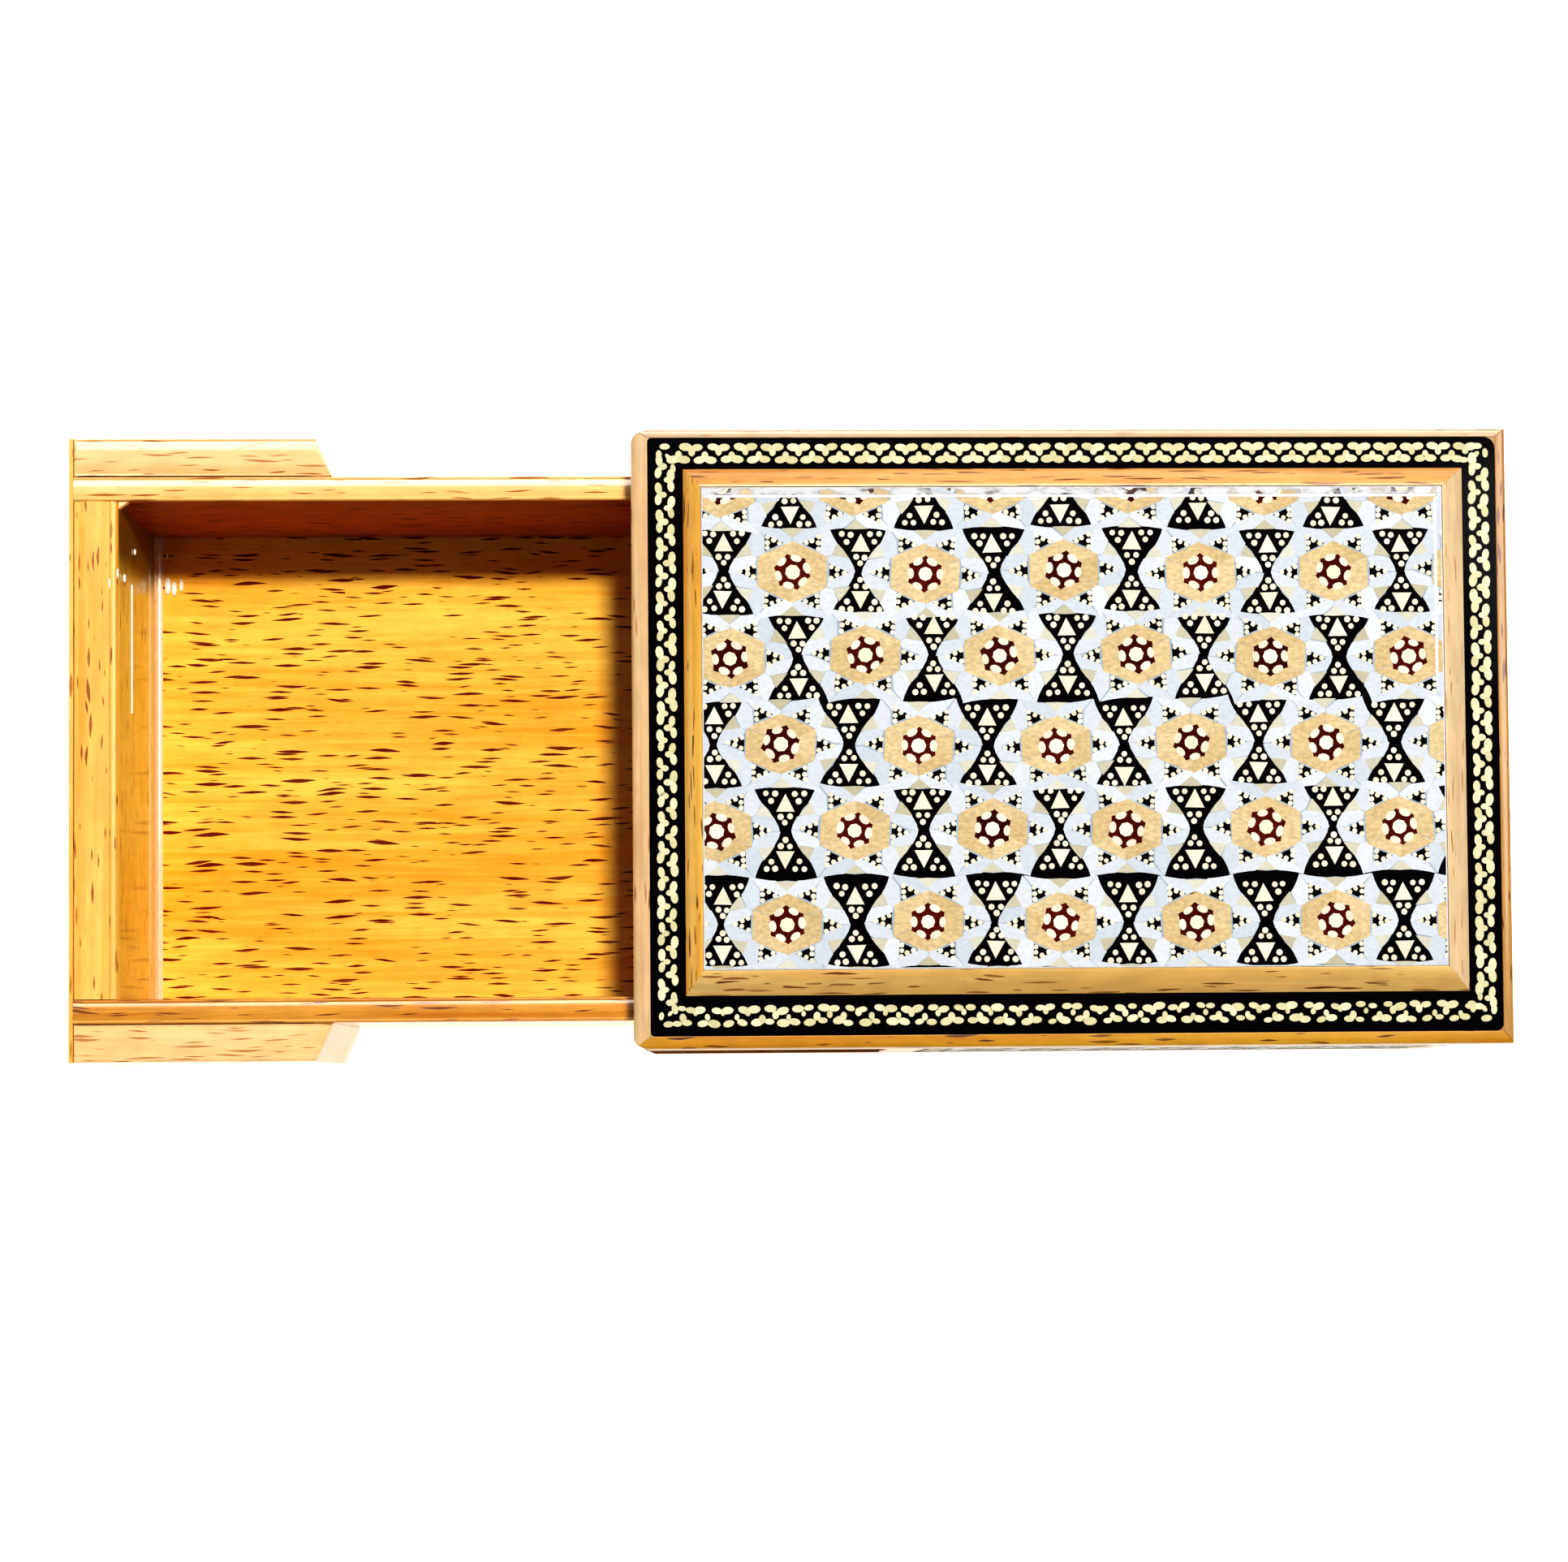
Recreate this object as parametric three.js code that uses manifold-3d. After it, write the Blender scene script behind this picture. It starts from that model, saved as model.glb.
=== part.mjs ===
// An inlaid wooden card box: a case whose roof carries a raised star panel in a mitred frame,
// and a drawer whose front carries two cheeks, which fill the notches in the sides of the case.
// Millimetres, +Z up. The origin is the centre of the underside of the case, the mouth faces -X,
// left is +Y, and the drawer stands part way out.
import * as THREE from "three";
import { mergeVertices } from "three/addons/utils/BufferGeometryUtils.js";
import Module from "manifold-3d";

const wasm = await Module();
wasm.setup();

// Driving dimensions of the case, over its lippings
const caseLength = 115;
const caseWidth = 81;
const caseHeight = 38; // up to the flat border round the raised panel
const bottomBoardThickness = 4;
const roofThickness = 8; // roof board and border inlay together
const sideWallThickness = 3.4;
const backWallThickness = 3.5;
const inlayThickness = 1.2; // the marquetry sheets on the case
const panelRaise = 2; // top of the star panel above the border
const glueFilm = 0.02; // between broad faces that are glued together

// Rings of the roof from the outside in: low x is the mouth, high x the back, low y the right side
const lippingWidth = { lowX: 2.2, highX: 1.5, lowY: 1.7, highY: 1.2 };
const borderWidth = { lowX: 4.6, highX: 4.4, lowY: 5.2, highY: 4.1 };
const mouldingWidth = { lowX: 2.3, highX: 3.2, lowY: 3.2, highY: 2.8 };

// Driving dimensions of the drawer
const drawerFrontThickness = 6.5; // with its facing
const drawerSideThickness = 3.3;
const drawerBackThickness = 3.3;
const drawerBottomThickness = 3;
const facingThickness = 0.6;
const facingFrameWidth = 3;
const cheekWidth = 5.1;
const cheekLength = 32.7; // along its outer face
const scarfRun = 2.2; // how much longer the cheek is along the drawer side
const tailBetweenWalls = 0.1; // how much of the drawer is still between the walls as shown

// Clearances
const sideClearance = 0.6; // between drawer and case, on each side
const roofClearance = 0.5;
const floorClearance = 0.3;
const backClearance = 1;
const scarfClearance = 0.5; // between cheek and case side when closed

// Levels and places that several pieces share
const roofUnderside = caseHeight - roofThickness;
const roofBoardTop = caseHeight - inlayThickness;
const panelTop = caseHeight + panelRaise;
const mouthX = -caseLength / 2;
const backX = caseLength / 2;
const wallOuterY = caseWidth / 2;
const wallInnerY = wallOuterY - sideWallThickness;
const drawerLength = caseLength - backWallThickness - backClearance;
const drawerHalfWidth = wallInnerY - sideClearance;
const drawerInnerHalf = drawerHalfWidth - drawerSideThickness;
const drawerHeight = roofUnderside - roofClearance - bottomBoardThickness - floorClearance;
const cheekOuterY = drawerHalfWidth + cheekWidth;

// From closed to the pose shown, where the drawer's tail reaches the start of the side walls
const openedMouth = cheekLength + scarfRun + scarfClearance;
const pulledOut = drawerLength - openedMouth - tailBetweenWalls;

// Colours, taken from the photograph, with roughness
const beech = () => standardMaterial("#e8bd78", 0.42);
const paleBeech = () => standardMaterial("#f0cf98", 0.4);
const warmBeech = () => standardMaterial("#e3ab4e", 0.42);
const goldenBeech = () => standardMaterial("#dfa23c", 0.45);
const coreWood = () => standardMaterial("#c9a06a", 0.6);
const blackInlay = () => standardMaterial("#14100f", 0.2);
const starInlay = () => standardMaterial("#c9ccd0", 0.15);

function standardMaterial(color, roughness) {
  return new THREE.MeshStandardMaterial({ color, roughness, metalness: 0 });
}

// Sides of a rectangle anticlockwise from the low corner, with the piece name each one gives
const ringSides = [
  { name: "right", start: 0, end: 1 },
  { name: "back", start: 1, end: 2 },
  { name: "left", start: 2, end: 3 },
  { name: "mouth", start: 3, end: 0 },
];
const facingSides = ["bottom", "right", "top", "left"];

function inset(rectangle, width) {
  return {
    lowX: rectangle.lowX + width.lowX,
    highX: rectangle.highX - width.highX,
    lowY: rectangle.lowY + width.lowY,
    highY: rectangle.highY - width.highY,
  };
}

function evenWidth(width) {
  return { lowX: width, highX: width, lowY: width, highY: width };
}

function corners(rectangle) {
  const { lowX, highX, lowY, highY } = rectangle;
  return [
    new THREE.Vector2(lowX, lowY),
    new THREE.Vector2(highX, lowY),
    new THREE.Vector2(highX, highY),
    new THREE.Vector2(lowX, highY),
  ];
}

// A closed solid through sections that list matching points. Seen from the last section back to
// the first, the points run anticlockwise, and outline gives them in the plane for the end caps.
function loft(sections, outline) {
  const count = outline.length;
  const positions = sections.flat().flatMap((point) => point.toArray());
  const index = [];
  for (let level = 0; level < sections.length - 1; level++) {
    for (let i = 0; i < count; i++) {
      const next = (i + 1) % count;
      const [a, b] = [level * count + i, level * count + next];
      const [c, d] = [b + count, a + count];
      index.push(a, b, c, a, c, d);
    }
  }
  const last = (sections.length - 1) * count;
  for (const [a, b, c] of THREE.ShapeUtils.triangulateShape(outline, [])) {
    index.push(a, c, b);
    index.push(last + a, last + b, last + c);
  }
  const geometry = new THREE.BufferGeometry();
  geometry.setAttribute("position", new THREE.Float32BufferAttribute(positions, 3));
  geometry.setIndex(index);
  return geometry;
}

// One side of a mitred frame. The profile is a list of x = share of the width from the outer
// edge in and y = height, and each end of the strip lies in the plane of its mitre.
function mitredStrip(outer, inner, side, profile) {
  const sectionAt = (corner) =>
    profile.map(({ x, y }) => {
      const place = outer[corner].clone().lerp(inner[corner], x);
      return new THREE.Vector3(place.x, place.y, y);
    });
  return loft([sectionAt(side.start), sectionAt(side.end)], profile);
}

function squareProfile(low, high) {
  return [
    new THREE.Vector2(0, low),
    new THREE.Vector2(1, low),
    new THREE.Vector2(1, high),
    new THREE.Vector2(0, high),
  ];
}

// A rectangle of even thickness whose upper edges are rounded over
function roundedSheet(rectangle, low, high, rounding) {
  const steps = 3;
  const levels = [{ margin: 0, z: low }];
  for (let i = 0; i <= steps; i++) {
    const angle = (i / steps) * (Math.PI / 2);
    levels.push({
      margin: rounding - rounding * Math.cos(angle),
      z: high - rounding + rounding * Math.sin(angle),
    });
  }
  const sections = levels.map(({ margin, z }) =>
    corners(inset(rectangle, evenWidth(margin))).map(({ x, y }) => new THREE.Vector3(x, y, z)),
  );
  return loft(sections, corners(rectangle));
}

function board(rectangle, low, high) {
  const outline = new THREE.Shape(corners(rectangle));
  const geometry = new THREE.ExtrudeGeometry(outline, { depth: high - low, bevelEnabled: false });
  return geometry.translate(0, 0, low);
}

// A board from its cross-section, x across and y up, that runs along X from the origin
function boardAlongX(section, length) {
  const turned = new THREE.Matrix4().makeBasis(
    new THREE.Vector3(0, 1, 0),
    new THREE.Vector3(0, 0, 1),
    new THREE.Vector3(1, 0, 0),
  );
  const options = { depth: length, bevelEnabled: false, curveSegments: 4 };
  return new THREE.ExtrudeGeometry(section, options).applyMatrix4(turned);
}

// A board from its cross-section, x along X and y up, that runs along Y about the middle
function boardAlongY(section, length) {
  const turned = new THREE.Matrix4().makeBasis(
    new THREE.Vector3(1, 0, 0),
    new THREE.Vector3(0, 0, 1),
    new THREE.Vector3(0, -1, 0),
  );
  const options = { depth: length, bevelEnabled: false, curveSegments: 4 };
  const geometry = new THREE.ExtrudeGeometry(section, options);
  return geometry.translate(0, 0, -length / 2).applyMatrix4(turned);
}

// A cross-section with square lower corners and eased upper ones
function easedSection(low, high, bottom, top, lowEase, highEase) {
  const section = new THREE.Shape();
  section.moveTo(low, bottom);
  section.lineTo(high, bottom);
  section.lineTo(high, top - highEase);
  section.quadraticCurveTo(high, top, high - highEase, top);
  section.lineTo(low + lowEase, top);
  section.quadraticCurveTo(low, top, low, top - lowEase);
  section.closePath();
  return section;
}

function solidFrom(geometry) {
  const bare = geometry.clone();
  bare.deleteAttribute("normal");
  bare.deleteAttribute("uv");
  const merged = mergeVertices(bare);
  return new wasm.Manifold(
    new wasm.Mesh({
      numProp: 3,
      vertProperties: merged.attributes.position.array,
      triVerts: new Uint32Array(merged.index.array),
    }),
  );
}

function geometryFrom(solid) {
  const { vertProperties, triVerts } = solid.getMesh();
  const geometry = new THREE.BufferGeometry();
  geometry.setAttribute("position", new THREE.BufferAttribute(vertProperties, 3));
  geometry.setIndex(new THREE.BufferAttribute(triVerts, 1));
  return geometry;
}

function piece(name, geometry, material) {
  if (!geometry.getAttribute("normal")) geometry.computeVertexNormals();
  const mesh = new THREE.Mesh(geometry, material);
  mesh.name = name;
  return mesh;
}

// The four strips of a ring, each named after its side
function ring(prefix, outerRectangle, innerRectangle, profile, materialFor) {
  const outer = corners(outerRectangle);
  const inner = corners(innerRectangle);
  return ringSides.map((side) =>
    piece(
      `${prefix}_${side.name}`,
      mitredStrip(outer, inner, side, profile),
      materialFor(side.name),
    ),
  );
}

const caseRectangle = { lowX: mouthX, highX: backX, lowY: -wallOuterY, highY: wallOuterY };
const boardRectangle = inset(caseRectangle, lippingWidth);
const mouldingRectangle = inset(boardRectangle, borderWidth);
const panelRectangle = inset(mouldingRectangle, mouldingWidth);

// Everything inside the plan of the case, whose two mouth corners are rounded off
function casePlanSolid() {
  const mouthCornerRadius = 1.6;
  const { lowX, highX, lowY, highY } = caseRectangle;
  const plan = new THREE.Shape();
  plan.moveTo(highX, lowY);
  plan.lineTo(highX, highY);
  plan.lineTo(lowX + mouthCornerRadius, highY);
  plan.absarc(
    lowX + mouthCornerRadius,
    highY - mouthCornerRadius,
    mouthCornerRadius,
    Math.PI / 2,
    Math.PI,
  );
  plan.absarc(
    lowX + mouthCornerRadius,
    lowY + mouthCornerRadius,
    mouthCornerRadius,
    Math.PI,
    Math.PI * 1.5,
  );
  plan.closePath();
  const options = { depth: panelTop, bevelEnabled: false, curveSegments: 6 };
  return solidFrom(new THREE.ExtrudeGeometry(plan, options));
}

function roundMouthCorners(mesh) {
  mesh.geometry = geometryFrom(solidFrom(mesh.geometry).intersect(casePlanSolid()));
  mesh.geometry.computeVertexNormals();
  return mesh;
}

// Lipping of the roof edge, with its upper outer edge eased
function topLippings() {
  const easeDrop = 0.6;
  const easeShares = [
    [0.5, 0],
    [0.25, 0.12],
    [0.08, 0.45],
    [0, 1],
  ];
  const profile = [
    new THREE.Vector2(0, roofUnderside),
    new THREE.Vector2(1, roofUnderside),
    new THREE.Vector2(1, caseHeight),
    ...easeShares.map(([across, drop]) => new THREE.Vector2(across, caseHeight - drop * easeDrop)),
  ];
  const colour = { mouth: paleBeech, left: paleBeech, right: warmBeech, back: beech };
  return ring("top_lipping", caseRectangle, boardRectangle, profile, (side) => colour[side]()).map(
    roundMouthCorners,
  );
}

// Lipping of the bottom board, with its lower outer edge eased
function baseLippings() {
  const easeRise = 0.5;
  const easeAcrossShare = 0.3;
  const profile = [
    new THREE.Vector2(0, easeRise),
    new THREE.Vector2(easeAcrossShare, 0),
    new THREE.Vector2(1, 0),
    new THREE.Vector2(1, bottomBoardThickness),
    new THREE.Vector2(0, bottomBoardThickness),
  ];
  return ring("base_lipping", caseRectangle, boardRectangle, profile, beech).map(
    roundMouthCorners,
  );
}

function bottomBoard() {
  return piece("case_bottom_board", board(boardRectangle, 0, bottomBoardThickness), goldenBeech());
}

function roofBoard() {
  const geometry = board(boardRectangle, roofUnderside, roofBoardTop - glueFilm);
  return piece("case_roof_board", geometry, coreWood());
}

function borderInlays() {
  const profile = squareProfile(roofBoardTop, caseHeight);
  return ring("border_inlay", boardRectangle, mouldingRectangle, profile, blackInlay);
}

// Bevelled moulding that climbs from the border to the star panel, a little rounded at the top
function panelMouldings() {
  const bevelShares = [
    [1, 1],
    [0.82, 0.94],
    [0.5, 0.62],
    [0, 0],
  ];
  const profile = [
    new THREE.Vector2(0, roofBoardTop),
    new THREE.Vector2(1, roofBoardTop),
    ...bevelShares.map(([across, rise]) => new THREE.Vector2(across, caseHeight + rise * panelRaise)),
  ];
  return ring("panel_moulding", mouldingRectangle, panelRectangle, profile, warmBeech);
}

function panelCore() {
  const geometry = board(panelRectangle, roofBoardTop, panelTop - inlayThickness - glueFilm);
  return piece("panel_core", geometry, coreWood());
}

function panelInlay() {
  const edgeRounding = 0.35;
  const low = panelTop - inlayThickness;
  return piece("panel_inlay", roundedSheet(panelRectangle, low, panelTop, edgeRounding), starInlay());
}

// The side walls of the case start behind the cheeks, with ends cut to the same slant
const stileLength = 5; // plain beech at each end of a wall's inlay
const cornerRebate = 1.5; // how far the back wall is let into the side walls
const wallHeight = roofUnderside - bottomBoardThickness - glueFilm;
const recessY = wallOuterY - inlayThickness;

function scarfX(y) {
  const slantShare = (cheekOuterY - y) / cheekWidth;
  return mouthX + cheekLength + scarfRun * slantShare + scarfClearance;
}

const sideInlayX = { low: scarfX(wallOuterY) + stileLength, high: backX - stileLength };
const backInlayHalf = wallOuterY - stileLength;

function extrudedPlan(points, side, height) {
  const plan = new THREE.Shape(points.map(([x, y]) => new THREE.Vector2(x, side * y)));
  return new THREE.ExtrudeGeometry(plan, { depth: height, bevelEnabled: false });
}

function sideWall(name, side) {
  const points = [
    [scarfX(wallOuterY), wallOuterY],
    [scarfX(wallInnerY), wallInnerY],
    [backX - backWallThickness, wallInnerY],
    [backX - backWallThickness, wallInnerY + cornerRebate],
    [backX, wallInnerY + cornerRebate],
    [backX, wallOuterY],
    [sideInlayX.high, wallOuterY],
    [sideInlayX.high, recessY],
    [sideInlayX.low, recessY],
    [sideInlayX.low, wallOuterY],
  ];
  const wall = piece(`case_side_${name}`, extrudedPlan(points, side, wallHeight), beech());
  wall.position.z = bottomBoardThickness;
  return wall;
}

function sideInlay(name, side) {
  const points = [
    [sideInlayX.low, recessY + glueFilm],
    [sideInlayX.high, recessY + glueFilm],
    [sideInlayX.high, wallOuterY],
    [sideInlayX.low, wallOuterY],
  ];
  const sheet = piece(`side_inlay_${name}`, extrudedPlan(points, side, wallHeight), blackInlay());
  sheet.position.z = bottomBoardThickness;
  return sheet;
}

function backWall() {
  const innerX = backX - backWallThickness;
  const endY = wallInnerY + cornerRebate;
  const recessX = backX - inlayThickness;
  const points = [
    [innerX, -endY],
    [backX, -endY],
    [backX, -backInlayHalf],
    [recessX, -backInlayHalf],
    [recessX, backInlayHalf],
    [backX, backInlayHalf],
    [backX, endY],
    [innerX, endY],
  ];
  const wall = piece("case_back_wall", extrudedPlan(points, 1, wallHeight), beech());
  wall.position.z = bottomBoardThickness;
  return wall;
}

function backInlay() {
  const rectangle = {
    lowX: backX - inlayThickness + glueFilm,
    highX: backX,
    lowY: -backInlayHalf,
    highY: backInlayHalf,
  };
  const sheet = piece("back_inlay", board(rectangle, 0, wallHeight), blackInlay());
  sheet.position.z = bottomBoardThickness;
  return sheet;
}

function caseGroup() {
  const group = new THREE.Group();
  group.add(
    bottomBoard(),
    ...baseLippings(),
    sideWall("left", 1),
    sideWall("right", -1),
    backWall(),
    sideInlay("left", 1),
    sideInlay("right", -1),
    backInlay(),
    roofBoard(),
    ...topLippings(),
    ...borderInlays(),
    ...panelMouldings(),
    panelCore(),
    panelInlay(),
  );
  return group;
}

// The drawer in its own frame: the front face at x = 0, the underside at z = 0
const bottomRebate = 1.6; // how far the bottom is let into the sides
const sideRimEase = 0.5;
const frontRimEase = 1.2;

function drawerBottom() {
  const halfWidth = drawerInnerHalf + bottomRebate;
  const rectangle = {
    lowX: facingThickness,
    highX: drawerLength,
    lowY: -halfWidth,
    highY: halfWidth,
  };
  return piece("drawer_bottom", board(rectangle, 0, drawerBottomThickness), goldenBeech());
}

// A side has a rebate along its lower inner edge, which takes the bottom
function drawerSide(name, side) {
  const top = drawerHeight;
  const rebateY = drawerInnerHalf + bottomRebate;
  const rebateTop = drawerBottomThickness + glueFilm;
  const section = new THREE.Shape();
  section.moveTo(side * rebateY, 0);
  section.lineTo(side * drawerHalfWidth, 0);
  section.lineTo(side * drawerHalfWidth, top - sideRimEase);
  section.quadraticCurveTo(
    side * drawerHalfWidth,
    top,
    side * (drawerHalfWidth - sideRimEase),
    top,
  );
  section.lineTo(side * (drawerInnerHalf + sideRimEase), top);
  section.quadraticCurveTo(
    side * drawerInnerHalf,
    top,
    side * drawerInnerHalf,
    top - sideRimEase,
  );
  section.lineTo(side * drawerInnerHalf, rebateTop);
  section.lineTo(side * rebateY, rebateTop);
  section.closePath();
  const length = drawerLength - facingThickness;
  const wall = piece(`drawer_side_${name}`, boardAlongX(section, length), paleBeech());
  wall.position.x = facingThickness;
  return wall;
}

// The front and the back stand on the bottom, between the sides
function drawerFront() {
  const bottom = drawerBottomThickness + glueFilm;
  const section = easedSection(
    facingThickness,
    drawerFrontThickness,
    bottom,
    drawerHeight,
    sideRimEase,
    frontRimEase,
  );
  const front = boardAlongY(section, 2 * (drawerInnerHalf - glueFilm));
  return piece("drawer_front", front, warmBeech());
}

function drawerBack() {
  const bottom = drawerBottomThickness + glueFilm;
  const section = easedSection(
    drawerLength - drawerBackThickness,
    drawerLength,
    bottom,
    drawerHeight,
    sideRimEase,
    sideRimEase,
  );
  const back = boardAlongY(section, 2 * (drawerInnerHalf - glueFilm));
  return piece("drawer_back", back, beech());
}

// A cheek is glued to the outside of the drawer side, and its far end is cut on the slant
function cheek(name, side) {
  const edgeEase = 0.4;
  const plan = new THREE.Shape(
    [
      [facingThickness, drawerHalfWidth + glueFilm],
      [cheekLength + scarfRun, drawerHalfWidth + glueFilm],
      [cheekLength, cheekOuterY],
      [facingThickness, cheekOuterY],
    ].map(([x, y]) => new THREE.Vector2(x, side * y)),
  );
  const geometry = new THREE.ExtrudeGeometry(plan, {
    depth: drawerHeight - 2 * edgeEase,
    bevelThickness: edgeEase,
    bevelSize: edgeEase,
    bevelOffset: -edgeEase,
    bevelSegments: 2,
  });
  const block = piece(`cheek_${name}`, geometry, paleBeech());
  block.position.z = edgeEase;
  return block;
}

// The facing covers the front, the ends of the sides and the cheeks: a marquetry panel in a
// mitred frame. It is drawn face up and then turned to face the mouth side, with its foot down.
function facingGroup() {
  const outerRectangle = {
    lowX: -cheekOuterY,
    highX: cheekOuterY,
    lowY: 0,
    highY: drawerHeight,
  };
  const innerRectangle = inset(outerRectangle, evenWidth(facingFrameWidth));
  const back = glueFilm - facingThickness;
  const profile = squareProfile(back, 0);
  const outer = corners(outerRectangle);
  const inner = corners(innerRectangle);
  const group = new THREE.Group();
  ringSides.forEach((side, i) => {
    const strip = mitredStrip(outer, inner, side, profile);
    group.add(piece(`front_frame_${facingSides[i]}`, strip, warmBeech()));
  });
  group.add(piece("front_inlay", board(innerRectangle, back, 0), blackInlay()));
  group.quaternion.setFromRotationMatrix(
    new THREE.Matrix4().makeBasis(
      new THREE.Vector3(0, -1, 0),
      new THREE.Vector3(0, 0, 1),
      new THREE.Vector3(-1, 0, 0),
    ),
  );
  return group;
}

function drawerGroup() {
  const group = new THREE.Group();
  group.add(
    drawerBottom(),
    drawerSide("left", 1),
    drawerSide("right", -1),
    drawerFront(),
    drawerBack(),
    cheek("left", 1),
    cheek("right", -1),
    facingGroup(),
  );
  group.position.set(mouthX - pulledOut, 0, bottomBoardThickness + floorClearance);
  return group;
}

const cardBox = new THREE.Group();
cardBox.add(caseGroup(), drawerGroup());
export default cardBox;
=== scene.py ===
# Inlaid card box with its drawer pulled out: wood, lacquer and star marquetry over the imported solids.
# Lengths in the dictionaries are millimetres, and mm turns them into the scene's metres.
import math
import random
import bpy
from mathutils import Matrix, Vector


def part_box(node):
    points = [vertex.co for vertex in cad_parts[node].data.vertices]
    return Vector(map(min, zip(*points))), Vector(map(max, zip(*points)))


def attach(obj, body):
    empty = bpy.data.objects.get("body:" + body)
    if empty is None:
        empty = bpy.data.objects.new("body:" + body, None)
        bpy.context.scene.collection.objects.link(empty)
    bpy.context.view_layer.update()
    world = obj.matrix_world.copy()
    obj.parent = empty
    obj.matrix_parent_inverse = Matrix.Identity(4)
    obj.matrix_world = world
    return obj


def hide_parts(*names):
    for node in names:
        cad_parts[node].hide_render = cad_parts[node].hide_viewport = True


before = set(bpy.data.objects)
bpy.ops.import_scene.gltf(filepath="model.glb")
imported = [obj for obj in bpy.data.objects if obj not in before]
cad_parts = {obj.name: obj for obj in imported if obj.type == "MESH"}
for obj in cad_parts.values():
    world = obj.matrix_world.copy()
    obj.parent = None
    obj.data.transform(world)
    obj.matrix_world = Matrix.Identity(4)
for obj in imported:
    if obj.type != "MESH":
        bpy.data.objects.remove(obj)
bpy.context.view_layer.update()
mm = 0.001
white = (1, 1, 1, 1)
nearEnough = 0.01 * mm  # a corner this near to a face lies in it
cutThreshold = 1e-7  # metres
print("frame loaded:", len(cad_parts), "solids")


# Small helpers
def deselectAll():
    if bpy.context.mode != "OBJECT":
        bpy.ops.object.mode_set(mode="OBJECT")
    bpy.ops.object.select_all(action="DESELECT")


def pick(ob):
    deselectAll()
    ob.select_set(True)
    bpy.context.view_layer.objects.active = ob


def editAll(ob):
    pick(ob)
    bpy.ops.object.mode_set(mode="EDIT")
    bpy.ops.mesh.select_all(action="SELECT")


def leaveEdit():
    bpy.ops.object.mode_set(mode="OBJECT")


def cutPlane(ob, place, normal, trim=False):
    # one straight cut through the whole mesh; trim takes off what lies outside it and closes the cut
    editAll(ob)
    cut = {"use_fill": trim, "clear_outer": trim, "threshold": cutThreshold}
    bpy.ops.mesh.bisect(plane_co=place, plane_no=normal, **cut)
    leaveEdit()


def dress(ob, body, slot, material=None):
    # every piece rides on its body and takes the material it is given
    if material:
        ob.data.materials.clear()
        ob.data.materials.append(material)
    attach(ob, body)
    return ob


def sRgb(red, green, blue):
    # a colour as seen on screen, 0 to 255, made linear
    def linear(value):
        share = value / 255
        return share / 12.92 if share <= 0.04045 else ((share + 0.055) / 1.055) ** 2.4
    return (linear(red), linear(green), linear(blue), 1)


# Shader helpers. Nodes stand side by side in the order they are made
nodeSpacing = 180


def feed(tree, node, inputs):
    # each input takes a link from a socket, or a plain value
    for label, value in inputs.items():
        if isinstance(value, bpy.types.NodeSocket):
            tree.links.new(value, node.inputs[label])
        else:
            node.inputs[label].default_value = value


def nodeIn(tree, kind, inputs, **settings):
    node = tree.nodes.new("ShaderNode" + kind)
    node.location = (nodeSpacing * len(tree.nodes), 0)
    for name, value in settings.items():
        setattr(node, name, value)
    feed(tree, node, inputs)
    return node


def newMaterial(name):
    material = bpy.data.materials.new(name)
    material.use_nodes = True
    return material, material.node_tree, material.node_tree.nodes["Principled BSDF"]


def mathIn(tree, operation, first, second, kind="Math", **settings):
    return nodeIn(tree, kind, {0: first, 1: second}, operation=operation, **settings).outputs[0]


def blendIn(tree, factor, first, second, kind="MIX"):
    # the sockets for colours are the seventh and eighth
    inputs = {0: factor, 6: first, 7: second}
    return nodeIn(tree, "Mix", inputs, data_type="RGBA", blend_type=kind).outputs[2]


def noiseIn(tree, vector, scale, detail=2, rough=0.5, bend=0.0):
    # scale is given per axis, on a vector in millimetres
    stretched = nodeIn(tree, "Mapping", {"Vector": vector, "Scale": scale}).outputs[0]
    inputs = {"Vector": stretched, "Scale": 1, "Detail": detail, "Roughness": rough, "Distortion": bend}
    return nodeIn(tree, "TexNoise", inputs).outputs[0]


def rangeIn(tree, value, low, high, toLow=0.0, toHigh=1.0):
    inputs = {"Value": value, "From Min": low, "From Max": high, "To Min": toLow, "To Max": toHigh}
    return nodeIn(tree, "MapRange", inputs, interpolation_type="SMOOTHSTEP").outputs[0]


def bumpIn(tree, look, height, below=None):
    # look: strength and depth. A bump may lie on the normal of one below it
    inputs = {"Strength": look[0], "Distance": look[1] * mm, "Height": height}
    if below is not None:
        inputs["Normal"] = below
    return nodeIn(tree, "Bump", inputs).outputs[0]


def inMillimetres(tree, vector):
    return mathIn(tree, "MULTIPLY", vector, (1 / mm,) * 3, kind="VectorMath")


def objectVector(tree, turn=(0, 0, 0), offset=(0, 0, 0)):
    coords = nodeIn(tree, "TexCoord", {})
    return nodeIn(tree, "Mapping", {
        "Vector": coords.outputs["Object"],
        "Rotation": [math.radians(angle) for angle in turn],
        "Location": [value * mm for value in offset],
    }).outputs[0]


def newGroup(name, inputs, outputs):
    group = bpy.data.node_groups.new(name, "ShaderNodeTree")
    for way, sockets in (("INPUT", inputs), ("OUTPUT", outputs)):
        for label, kind in sockets.items():
            group.interface.new_socket(label, in_out=way, socket_type="NodeSocket" + kind)
    start = group.nodes.new("NodeGroupInput")
    end = group.nodes.new("NodeGroupOutput")
    end.location = (0, -nodeSpacing)
    return group, start.outputs, end


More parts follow.
